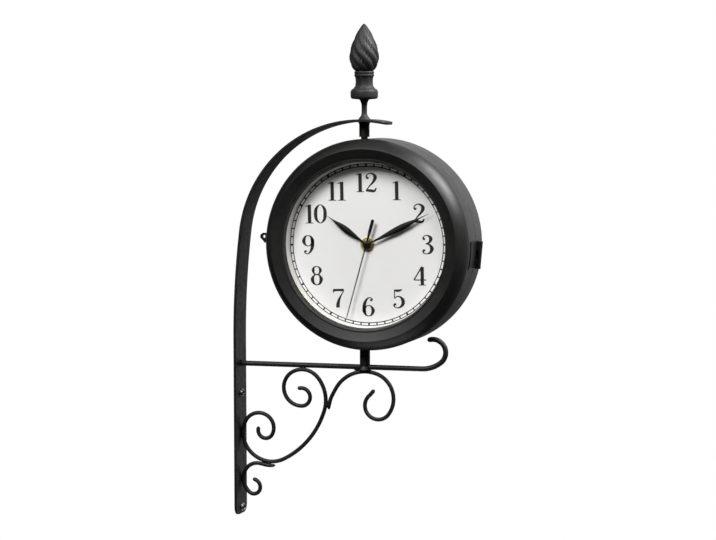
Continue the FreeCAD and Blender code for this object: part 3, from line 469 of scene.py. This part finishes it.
def makeStrap():
    half, thick, edge, corner = strap["width"] / 2, strap["thick"] / 2, strap["edge"], strap["corner"]
    section = [(-half + edge, -thick), (half - edge, -thick), (half, -thick + edge), (half, thick - edge),
               (half - edge, thick), (-half + edge, thick), (-half, thick - edge), (-half, -thick + edge)]
    path = strapPath(thick)
    run = distances(path)
    ratios = []
    for distance in run:
        near = min(distance, run[-1] - distance)
        inset = corner - math.sqrt(corner ** 2 - (corner - near) ** 2) if near < corner else 0
        ratios.append((half - inset) / half)
    bm = sweep(section, path, ratios, flat=True)
    drillStrap(finishPiece("wallStrap", bm, bracketPlace, "bracket", "bracket",
                           ["wall_strap"], 25))


makeStrap()

# round rods, from the clock's centre on the posts' axis: start, heading, then the turns of a walk;
# a tip is rounded over that many radii, and 0 leaves it blunt
rods = {
    "supportRod": {"node": "support_rod", "radius": 2.5, "start": (-124.5, -116.7), "heading": 0,
                   "path": [(180.5, None), (29.6, 38.5), (12.2, 167.5)], "tipIn": 0, "tipOut": 1.0},
    "largeScroll": {"node": "large_scroll", "radius": 1.95, "start": (-67.2, -139.8), "heading": 26.4,
                    "path": [(8.6, -203.3), (17.4, -156.6), (20.3, -76.1), (33.5, -58.3), (81.7, -45.1),
                             (29.1, -74.7), (25.9, -66.9), (15.5, -103.5), (13.7, -79.1), (7.6, -179.0)],
                    "tipIn": 1.0, "tipOut": 1.0},
    "postScroll": {"node": "post_scroll", "radius": 1.95, "start": (-36.0, -158.4), "heading": 90.2,
                   "path": [(28.8, -27.3), (145.7, -3.3), (33.9, -78.2), (24.7, -109.0), (12.9, -146.7),
                            (13.0, -44.1), (28.4, 15.3)],
                   "tipIn": 4.0, "tipOut": 1.0},
    "lowerScroll": {"node": "lower_scroll", "radius": 1.95, "start": (-90.4, -214.6), "heading": 187.1,
                    "path": [(33.9, -19.6), (54.0, 5.3), (13.7, 72.5), (17.6, 72.4), (6.7, 134.6),
                             (7.7, 86.5)],
                    "tipIn": 4.0, "tipOut": 1.0},
}
rodStyle = {"sides": 16, "stride": 1.6, "tip": 0.35,            # tip: share of the radius left at an end
            "waves": [(0.012, 0.31, 0), (0.01, 0.93, 1)]}       # hammered: depth, pace, start


def makeRods():
    for name, rod in rods.items():
        path = walk(rod["start"], rod["heading"], rod["path"], rodStyle["stride"])
        run = distances(path)
        ratios = []
        for distance in run:
            ratio = 1
            for depth, pace, start in rodStyle["waves"]:
                ratio += depth * math.sin(distance * pace + start)
            for reach, near in ((rod["tipIn"], distance), (rod["tipOut"], run[-1] - distance)):
                span = reach * rod["radius"]
                if near < span:
                    bulge = math.sqrt(1 - (1 - near / span) ** 2)
                    ratio *= rodStyle["tip"] + (1 - rodStyle["tip"]) * bulge
            ratios.append(min(ratio, 1))
        angles = [math.tau * side / rodStyle["sides"] for side in range(rodStyle["sides"])]
        section = [(rod["radius"] * math.cos(angle), rod["radius"] * math.sin(angle)) for angle in angles]
        bm = sweep(section, path, ratios)
        finishPiece(name, bm, bracketPlace, "bracket", "bracket", [rod["node"]])


makeRods()

# weld beads where the rods meet, places in millimetres: x, z, length, width
beads = {"places": [(-123.6, -116.7, 2.2, 5.6), (-123.2, -185.0, 1.6, 4.6), (-123.1, -228.3, 1.6, 4.2),
                    (-61.6, -119.2, 4.4, 1.6), (-8.5, -119.6, 4.2, 1.5), (-38.0, -154.8, 1.6, 4.4),
                    (-96.4, -212.4, 4.4, 1.6)],
         "swell": 1.15, "depth": 1.9, "ripple": 0.07}


def makeBeads():
    bm = bmesh.new()
    swell = beads["swell"]
    for x, z, long, wide in beads["places"]:
        made = bmesh.ops.create_icosphere(bm, subdivisions=3, radius=1)
        for vert in made["verts"]:
            ball = vert.co.copy()
            ripple = 1 + beads["ripple"] * math.sin(ball.x * 9 + z) * math.cos(ball.z * 8 + x)
            vert.co = Vector((ball.x * long / 2 * swell, ball.y * beads["depth"],
                              ball.z * wide / 2 * swell)) * ripple
            vert.co += Vector((x, 0, z))
    finishPiece("weldBeads", bm, bracketPlace, "bracket", "bracket")


makeBeads()

# finial: heights from the clock's centre, the eight-sided neck's from the top of the collar
finial = {"base": 117.62, "stem": 2.6, "neck": 8.5,
          "collarLow": 136.82, "collarTop": 146.22, "collar": 13.0,
          "facets": 8, "facetLow": 1.6, "facetHigh": 11.2, "facetFade": 1.5, "facetGrow": 1.02,
          "budLow": 162.82, "budTall": 44.6, "bud": 14.1,
          "ribs": 8, "twist": 3.9, "ribDepth": 0.2, "ribRound": 0.62, "segments": 160}
# the bud: share of its height, share of its widest radius
budShape = [(0, 0.58), (0.03, 0.69), (0.07, 0.8), (0.12, 0.89), (0.18, 0.96), (0.24, 0.99), (0.3, 1),
            (0.36, 0.992), (0.42, 0.968), (0.48, 0.92), (0.55, 0.85), (0.62, 0.765), (0.7, 0.655),
            (0.77, 0.545), (0.84, 0.42), (0.9, 0.3), (0.95, 0.19), (0.98, 0.1), (1, 0)]


def finialOutline():
    base, low, top, bud = finial["base"], finial["collarLow"], finial["collarTop"], finial["budLow"]
    stem, collar, neck = finial["stem"], finial["collar"], finial["neck"]
    footLine = [(0, base), (stem + 3.2, base, 0), (stem + 2.4, base + 1.2, 1.2), (stem, base + 4.2, 2.2),
                (stem, low - 5.0, 2.2), (stem + 1.7, low - 0.6, 1.4)]
    collarLine = [(collar - 1.2, low, 1.2), (collar, low + 1.6, 1.5), (collar, top - 2.0, 1.7),
                  (collar - 1.6, top, 1.2)]
    neckLine = [(neck + 1.9, top + 0.1, 0.5), (neck + 1.3, top + 1.0, 0.8), (neck + 0.2, top + 2.6, 1.2),
                (neck - 0.25, top + 6.5, 3), (neck + 0.1, top + 10.5, 1.5),
                (neck + 0.25, top + 11.6, 0.3)]
    beadLine = [(neck + 0.95, top + 12.0, 0.4), (neck + 0.95, top + 13.2, 0.4),
                (neck + 0.45, top + 13.6, 0.2), (neck + 0.45, top + 14.3, 0.2),
                (neck + 0.9, top + 14.7, 0.4), (neck + 0.9, top + 15.7, 0.4),
                (neck + 0.6, bud - 0.2, 0.2)]
    outline = eased(footLine + collarLine + neckLine + beadLine, 3)
    return outline + [(finial["bud"] * out, bud + finial["budTall"] * up) for up, out in budShape]


def makeFinial():
    top, bud, fade = finial["collarTop"], finial["budLow"], finial["facetFade"]
    facetLow, facetHigh = finial["facetLow"], finial["facetHigh"]
    halfFacet = math.pi / finial["facets"]
    bm = turned(finialOutline(), finial["segments"])
    for vert in bm.verts:
        radius, angle = math.hypot(vert.co.x, vert.co.y), math.atan2(vert.co.y, vert.co.x)
        if radius < 0.01:
            continue
        grow = 1
        up = (vert.co.z - bud) / finial["budTall"]
        if up > 0:
            # rounded ribs with narrow valleys between them, fading at both ends of the bud
            phase = finial["ribs"] * (angle + math.radians(finial["twist"] * (vert.co.z - bud)))
            rib = abs(math.sin(phase / 2)) ** finial["ribRound"]
            share = min(1, up / 0.1) * min(1, (1 - up) / 0.12)
            grow = 1 - finial["ribDepth"] * (1 - rib) * share
        elif top + facetLow < vert.co.z < top + facetHigh:
            facet = angle % (2 * halfFacet) - halfFacet
            share = min(1, (vert.co.z - top - facetLow) / fade, (top + facetHigh - vert.co.z) / fade)
            grow = 1 + share * (math.cos(halfFacet) / math.cos(facet) * finial["facetGrow"] - 1)
        vert.co.x *= grow
        vert.co.y *= grow
    bmesh.ops.recalc_face_normals(bm, faces=bm.faces)
    finishPiece("twistedFinial", bm, bracketPlace, "finial", "bracket", ["finial"], 40)


makeFinial()
print("clock: bracket made")

# half shells of the drum: (radius, depth), depth measured from the seam towards the dial
shell = {"radius": 99.5, "wall": 1.2, "edge": 0.35, "sideEnd": 24.9, "segments": 180,
         "shoulder": 24.0, "centre": (76.2, 19.3), "outside": (14.1, 54.5), "inside": (53.4, 14.4),
         "ridge": (90.05, 38.9), "lip": (79.2, 35.6), "wallEnd": (77.9, 30.0), "seam": 0.15}


def makeShells():
    wide, wall, edge, seam = shell["radius"], shell["wall"], shell["edge"], shell["seam"]
    lip, depth = shell["lip"]
    inner, wallDepth = shell["wallEnd"]
    profile = [(wide - edge, seam), (wide, seam + edge), (wide, shell["sideEnd"])]
    profile += arc(shell["centre"], shell["shoulder"], *shell["outside"], 22)
    # ridge, dish, a narrow bead round the lip and the turned-in wall
    profile += eased([
        profile[-1], (*shell["ridge"], 0.42), (lip + 2.1, depth + 0.55, 0.5),
        (lip + 1.0, depth + 0.75, 0.5), (lip + 0.05, depth + 0.1, 0.6), (lip - 0.2, depth - 1.0, 0.4),
        (inner, wallDepth),
    ], 4)[1:]
    # back along the inside
    profile += [(inner + 1.1, wallDepth), (lip + 1.0, depth - 0.9)]
    profile += arc(shell["centre"], shell["shoulder"] - wall, *shell["inside"], 12)
    profile += [(wide - wall, shell["sideEnd"]), (wide - wall, seam), profile[0]]
    for side, body in sideBody.items():
        bm = turned(profile, shell["segments"])
        finishPiece(side + "Shell", bm, sidePlace[side], "case", body,
                    [side + "_shell"], 22)


makeShells()

# dial print: rings and ticks of the minute track, numerals on a ring
dial = {"face": 21.0, "lift": 0.06, "turn": 1.0, "trackIn": 73.7, "trackOut": 76.3, "line": 0.85,
        "trackSides": 240, "tick": 1.25, "fiveTick": 1.8, "numeralRing": 58.5, "numeralTall": 18.0,
        "numeralWide": 1.25, "pen": 1.22, "curveSteps": 7}

# pen strokes of each numeral: (x, y, pen width) on a height of 1, then dots (x, y, radius)
bowl = [(0.46, 0.3, 0.125), (0.39, 0.08, 0.075), (0.265, 0.018, 0.038), (0.14, 0.08, 0.075),
        (0.07, 0.3, 0.125), (0.14, 0.49, 0.06), (0.265, 0.565, 0.038), (0.39, 0.5, 0.07)]
numerals = {
    "0": {"wide": 0.56, "loops": [
        [(0.49, 0.5, 0.125), (0.45, 0.2, 0.1), (0.28, 0.018, 0.036), (0.11, 0.2, 0.1),
         (0.07, 0.5, 0.125), (0.11, 0.8, 0.1), (0.28, 0.982, 0.036), (0.45, 0.8, 0.1)]]},
    "1": {"wide": 0.42, "lines": [
        [(0.22, 0.02, 0.125), (0.22, 0.98, 0.125)],
        [(0.05, 0.02, 0.035), (0.39, 0.02, 0.035)],
        [(0.26, 0.985, 0.03), (0.16, 0.93, 0.045), (0.04, 0.9, 0.028)]]},
    "2": {"wide": 0.56, "lines": [
        [(0.07, 0.74, 0.05), (0.1, 0.89, 0.045), (0.25, 0.98, 0.05), (0.41, 0.9, 0.1),
         (0.455, 0.74, 0.13), (0.37, 0.53, 0.09), (0.19, 0.29, 0.05), (0.05, 0.07, 0.04)],
        [(0.05, 0.055, 0.06), (0.16, 0.085, 0.11), (0.3, 0.06, 0.12), (0.42, 0.06, 0.085),
         (0.5, 0.22, 0.03)]],
        "dots": [(0.12, 0.735, 0.062)]},
    "3": {"wide": 0.54, "lines": [
        [(0.075, 0.8, 0.05), (0.12, 0.92, 0.045), (0.24, 0.98, 0.045), (0.38, 0.9, 0.095),
         (0.41, 0.77, 0.12), (0.34, 0.61, 0.07), (0.19, 0.54, 0.034)],
        [(0.19, 0.54, 0.034), (0.36, 0.49, 0.075), (0.455, 0.29, 0.13), (0.38, 0.09, 0.09),
         (0.23, 0.02, 0.042), (0.1, 0.07, 0.045), (0.06, 0.19, 0.05)]],
        "dots": [(0.12, 0.79, 0.055), (0.115, 0.2, 0.06)]},
    "4": {"wide": 0.57, "lines": [
        [(0.38, 0.02, 0.12), (0.38, 0.96, 0.12)],
        [(0.22, 0.02, 0.035), (0.52, 0.02, 0.035)],
        [(0.37, 0.985, 0.05), (0.03, 0.3, 0.045)],
        [(0.01, 0.285, 0.045), (0.55, 0.285, 0.045)]]},
    "5": {"wide": 0.53, "lines": [
        [(0.1, 0.97, 0.035), (0.1, 0.5, 0.035)],
        [(0.09, 0.93, 0.07), (0.2, 0.915, 0.1), (0.32, 0.925, 0.095), (0.43, 0.98, 0.03)],
        [(0.1, 0.51, 0.035), (0.2, 0.6, 0.045), (0.35, 0.585, 0.07), (0.455, 0.42, 0.125),
         (0.455, 0.22, 0.12), (0.35, 0.06, 0.075), (0.21, 0.02, 0.042), (0.09, 0.08, 0.045),
         (0.06, 0.19, 0.05)]],
        "dots": [(0.115, 0.2, 0.06)]},
    "6": {"wide": 0.54, "loops": [bowl], "lines": [
        [(0.43, 0.84, 0.05), (0.41, 0.93, 0.04), (0.32, 0.98, 0.04), (0.2, 0.9, 0.07), (0.1, 0.68, 0.11),
         (0.07, 0.4, 0.125), (0.1, 0.2, 0.1)]],
        "dots": [(0.385, 0.845, 0.058)]},
    "7": {"wide": 0.55, "lines": [
        [(0.04, 0.78, 0.03), (0.05, 0.95, 0.05)],
        [(0.03, 0.92, 0.11), (0.2, 0.935, 0.1), (0.5, 0.93, 0.11)],
        [(0.5, 0.9, 0.035), (0.38, 0.66, 0.05), (0.27, 0.38, 0.1), (0.23, 0.14, 0.13),
         (0.23, 0.01, 0.13)]]},
    "8": {"wide": 0.54, "loops": [
        bowl,
        [(0.43, 0.78, 0.1), (0.38, 0.93, 0.06), (0.265, 0.984, 0.036), (0.15, 0.93, 0.06),
         (0.11, 0.78, 0.1), (0.15, 0.62, 0.06), (0.265, 0.54, 0.036), (0.38, 0.62, 0.06)]]},
}


def halfTurned(glyph):
    def spun(spots):
        return [(glyph["wide"] - 0.01 - x, 1 - y, pen) for x, y, pen in spots]

    return {"wide": glyph["wide"], "loops": [spun(line) for line in glyph["loops"]],
            "lines": [spun(line) for line in glyph["lines"]], "dots": spun(glyph["dots"])}


numerals["9"] = halfTurned(numerals["6"])


def smoothLine(points, closed):
    # curve through the points, with the pen width carried along
    count = len(points)
    if count == 2 and not closed:
        return points
    path = []
    for index in range(count if closed else count - 1):
        picks = [index - 1, index, index + 1, index + 2]
        around = [points[p % count] if closed else points[max(0, min(count - 1, p))] for p in picks]
        for step in range(dial["curveSteps"]):
            u = step / dial["curveSteps"]
            path.append(tuple(
                0.5 * (2 * b + (c - a) * u + (2 * a - 5 * b + 4 * c - d) * u * u
                       + (3 * b - a - 3 * c + d) * u ** 3)
                for a, b, c, d in zip(*around)))
    if not closed:
        path.append(points[-1])
    return path


def penStroke(bm, points, closed, place):
    path = smoothLine(points, closed)
    count = len(path)
    pairs = []
    for index, (x, y, pen) in enumerate(path):
        before = path[index - 1] if closed or index else path[0]
        after = path[(index + 1) % count] if closed or index < count - 1 else path[-1]
        along = Vector((after[0] - before[0], after[1] - before[1])).normalized()
        side = Vector((-along.y, along.x)) * pen * dial["pen"] / 2
        pairs.append([bm.verts.new(place @ Vector((x + s * side.x, y + s * side.y, 0))) for s in (1, -1)])
    for index in range(count if closed else count - 1):
        here, there = pairs[index], pairs[(index + 1) % count]
        bm.faces.new((here[0], here[1], there[1], there[0]))


def drawNumeral(bm, text, place):
    left = -sum(numerals[digit]["wide"] for digit in text) / 2
    for digit in text:
        glyph = numerals[digit]
        shift = place @ Matrix.Translation((left, -0.5, 0))
        for kind in ("lines", "loops"):
            for line in glyph.get(kind, []):
                penStroke(bm, line, kind == "loops", shift)
        for x, y, radius in glyph.get("dots", []):
            bmesh.ops.create_circle(bm, cap_ends=True, segments=20, radius=radius,
                                    matrix=shift @ Matrix.Translation((x, y, 0)))
        left += glyph["wide"]


def flatRing(bm, middle, height):
    inner, outer = middle - dial["line"] / 2, middle + dial["line"] / 2
    made = bmesh.ops.create_circle(bm, cap_ends=False, segments=dial["trackSides"], radius=inner,
                                   matrix=Matrix.Translation((0, 0, height)))
    edges = list({edge for vert in made["verts"] for edge in vert.link_edges})
    ring = newVerts(bmesh.ops.extrude_edge_only(bm, edges=edges))
    bmesh.ops.scale(bm, verts=ring, vec=(outer / inner, outer / inner, 1))


def makeMinuteTrack(side, body, height, turn):
    bm = bmesh.new()
    low, high = dial["trackIn"], dial["trackOut"]
    flatRing(bm, low, height)
    flatRing(bm, high, height)
    for minute in range(60):
        wide = dial["fiveTick"] if minute % 5 == 0 else dial["tick"]
        place = Matrix.Rotation(math.radians(6 * minute), 4, "Z") \
            @ Matrix.Translation((0, (low + high) / 2, height)) \
            @ Matrix.Diagonal((wide / 2, (high - low) / 2, 1, 1))
        bmesh.ops.create_grid(bm, x_segments=1, y_segments=1, size=1, matrix=place)
    bmesh.ops.transform(bm, matrix=turn, verts=bm.verts)
    finishPiece(side + "MinuteTrack", bm, sidePlace[side], "ink", body)


def makeNumerals(side, body, height, turn):
    bm = bmesh.new()
    ring, tall = dial["numeralRing"], dial["numeralTall"]
    for hour in range(1, 13):
        angle = math.radians(90 - 30 * hour)
        place = Matrix.Translation((ring * math.cos(angle), ring * math.sin(angle), height)) \
            @ Matrix.Diagonal((tall * dial["numeralWide"], tall, 1, 1))
        drawNumeral(bm, str(hour), place)
    bmesh.ops.transform(bm, matrix=turn, verts=bm.verts)
    bmesh.ops.recalc_face_normals(bm, faces=bm.faces)
    for face in bm.faces:
        if face.normal.z < 0:
            face.normal_flip()
    finishPiece(side + "Numerals", bm, sidePlace[side], "ink", body)


dialTurn = Matrix.Rotation(math.radians(dial["turn"]), 4, "Z")
for side, body in sideBody.items():
    makeMinuteTrack(side, body, dial["face"] + dial["lift"], dialTurn)
    makeNumerals(side, body, dial["face"] + dial["lift"], dialTurn)

# hands: angle clockwise from twelve, depth from the seam
hands = {
    "hour": {"length": 47.0, "angle": 304.6, "depth": 23.5, "hub": 3.7, "wide": 2.9, "ridge": 0.8},
    "minute": {"length": 67.6, "angle": 63.6, "depth": 24.5, "hub": 3.5, "wide": 2.9, "ridge": 0.8},
    "second": {"length": 71.5, "angle": 195.7, "depth": 25.4, "hub": 3.3, "tail": 25.0, "thick": 0.35,
               "tailRound": 1.5, "dome": 0.62},
}
# a leaf hand: share of the length, share of the half width; then its edge and hub heights
leafShape = [(0.0, 0.3), (0.1, 0.3), (0.2, 0.42), (0.3, 0.64), (0.4, 0.86), (0.5, 0.99), (0.56, 1.0),
             (0.63, 0.92), (0.72, 0.66), (0.8, 0.38), (0.86, 0.2), (0.93, 0.12), (1.0, 0.05)]
leaf = {"edge": 0.2, "hubTall": 0.42, "hubEdge": 0.3}
hubSides = 48


def handPlace(side, hand):
    turn = Matrix.Rotation(-math.radians(hand["angle"]), 4, "Z")
    return sidePlace[side] @ turn @ Matrix.Translation((0, 0, hand["depth"]))


def makeLeafHand(side, name):
    hand = hands[name]
    bm = bmesh.new()
    rows = []
    for share, wide in leafShape:
        ridge = hand["ridge"] * (0.35 + 0.65 * wide)
        rows.append([bm.verts.new((x * hand["wide"] * wide, hand["length"] * share, z))
                     for x, z in ((-1, leaf["edge"]), (0, ridge), (1, leaf["edge"]))])
    faces = []
    for here, there in zip(rows, rows[1:]):
        for column in (0, 1):
            faces.append(bm.faces.new((here[column], here[column + 1], there[column + 1], there[column])))
    for vert in newVerts(bmesh.ops.extrude_face_region(bm, geom=faces)):
        vert.co.z = 0
    hub, tall = hand["hub"], leaf["hubTall"]
    hubLine = [(0.0, tall), (hub - 0.3, tall, 0.15), (hub, leaf["hubEdge"], 0.1), (hub, 0, 0), (0, 0)]
    addMesh(bm, turned(eased(hubLine, 3), hubSides))
    bmesh.ops.recalc_face_normals(bm, faces=bm.faces)
    finishPiece(side + name.capitalize() + "Hand", bm, handPlace(side, hand), "hand",
                f"{side}_{name}_hand_set", [f"{side}_{name}_hand"], 12)


def makeSecondHand(side):
    hand = hands["second"]
    bm = bmesh.new()
    tail, thick, tailRound, hub = -hand["tail"], hand["thick"], hand["tailRound"], hand["hub"]
    edge = [(0.4, hand["length"]), (0.6, 0), (0.85, tail * 0.3), (1.45, tail * 0.5)]
    outline = [(-x, y) for x, y in edge]
    outline += arc((0, tail + tailRound), tailRound, 180, 360, 12) + edge[::-1]
    face = bm.faces.new([bm.verts.new((x, y, thick)) for x, y in outline])
    grown = bmesh.ops.extrude_face_region(bm, geom=[face])
    bmesh.ops.translate(bm, verts=newVerts(grown), vec=(0, 0, -thick))
    hubLine = [(0, 0), (hub, 0), (hub, thick - 0.05)]
    for degrees in range(10, 91, 10):
        angle = math.radians(degrees)
        hubLine.append(((hub - 0.05) * math.cos(angle), thick + hand["dome"] * math.sin(angle)))
    addMesh(bm, turned(hubLine, hubSides))
    bmesh.ops.recalc_face_normals(bm, faces=bm.faces)
    finishPiece(side + "SecondHand", bm, handPlace(side, hand), "hand",
                side + "_second_hand_set", [side + "_second_hand"], 30)


for side in sideBody:
    makeLeafHand(side, "hour")
    makeLeafHand(side, "minute")
    makeSecondHand(side)
print("clock: case, dials and hands made")

# finishes of the CAD pieces that keep their own shape, without front_ or rear_
nodeFinish = {
    "wall_eyelets": "steel", "upper_post": "bracket", "lower_post": "bracket", "pivot_nuts": "steel",
    "hinge_pin": "case", "lens": "glass", "spacer_ring": "ring", "dial": "dial", "catch_lug": "case",
    "hinge_leaf": "case", "movement_tray": "tray", "movement_cover": "tray", "dial_washer": "brass",
    "dial_nut": "brass", "battery": "jacket", "contacts": "steel", "motor_coil": "copper",
    "circuit_board": "board", "seconds_wheel": "wheel", "third_wheel": "wheel", "centre_wheel": "wheel",
    "setting_wheel": "wheel", "hour_wheel": "wheel", "intermediate_wheel": "wheel", "rotor": "wheel",
}


def finishNodes():
    for name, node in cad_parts.items():
        chosen = nodeFinish.get(name.removeprefix("front_").removeprefix("rear_"))
        if chosen:
            for holder in node.material_slots:
                holder.material = finish[chosen]


finishNodes()

# studio: pale floor well below the bracket, white backdrop light, soft boxes
studio = {"floorDrop": -1.1, "floorSize": 0.5, "sky": 0.06, "backdrop": 0.9, "below": 0.1,
          "skyFade": (0.15, 0.75), "belowFade": (-0.35, 0.05),
          "boxes": [
              {"name": "keyBox", "at": (-0.5, -1.6, 1.75), "size": 0.9, "power": 62},
              {"name": "topBox", "at": (1.25, 0.1, 1.35), "size": 0.8, "power": 60},
              {"name": "fillBox", "at": (1.0, -1.3, 1.9), "size": 1.0, "power": 26},
          ]}


def makeFloor():
    bm = bmesh.new()
    bmesh.ops.create_circle(bm, cap_ends=True, segments=96, radius=studio["floorSize"],
                            matrix=Matrix.Translation((0.12, 0, studio["floorDrop"])))
    mesh = bpy.data.meshes.new("studioFloor")
    bm.to_mesh(mesh)
    bm.free()
    mat, tree, shader = newMaterial("floorPaper")
    shader.inputs["Base Color"].default_value = (0.86, 0.86, 0.85, 1)
    rough = spread(tree, noise(tree, objectPoint(tree), 12), (0.75, 0.85))
    tree.links.new(rough, shader.inputs["Roughness"])
    mesh.materials.append(mat)
    floor = bpy.data.objects.new("studioFloor", mesh)
    scene.collection.objects.link(floor)


def makeLamps():
    for box in studio["boxes"]:
        data = bpy.data.lights.new(box["name"], "AREA")
        data.size = box["size"]
        data.energy = box["power"]
        lamp = bpy.data.objects.new(box["name"], data)
        lamp.location = box["at"]
        lamp.rotation_mode = "QUATERNION"
        lamp.rotation_quaternion = (caseCentre - Vector(box["at"])).to_track_quat("-Z", "Y")
        scene.collection.objects.link(lamp)


def makeWorld():
    # bright behind the clock, dim in front and below, and plain white where the camera looks past it
    world = bpy.data.worlds.new("studioWorld")
    scene.world = world
    world.use_nodes = True
    tree = world.node_tree
    tree.nodes.clear()
    coords = tree.nodes.new("ShaderNodeTexCoord")
    split = tree.nodes.new("ShaderNodeSeparateXYZ")
    tree.links.new(coords.outputs["Generated"], split.inputs["Vector"])
    lit = addNode(tree, "ShaderNodeMath", operation="MULTIPLY")
    behind = spread(tree, split.outputs["Y"], (studio["sky"], studio["backdrop"]), studio["skyFade"])
    above = spread(tree, split.outputs["Z"], (studio["below"], 1), studio["belowFade"])
    tree.links.new(behind, lit.inputs[0])
    tree.links.new(above, lit.inputs[1])
    dim = addNode(tree, "ShaderNodeBackground", Color=(1, 1, 1, 1))
    tree.links.new(lit.outputs["Value"], dim.inputs["Strength"])
    white = addNode(tree, "ShaderNodeBackground", Color=(1, 1, 1, 1))
    path = tree.nodes.new("ShaderNodeLightPath")
    mix = tree.nodes.new("ShaderNodeMixShader")
    tree.links.new(path.outputs["Is Camera Ray"], mix.inputs["Fac"])
    tree.links.new(dim.outputs["Background"], mix.inputs[1])
    tree.links.new(white.outputs["Background"], mix.inputs[2])
    out = tree.nodes.new("ShaderNodeOutputWorld")
    tree.links.new(mix.outputs["Shader"], out.inputs["Surface"])


makeFloor()
makeLamps()
makeWorld()
print("clock: studio made, finishing")
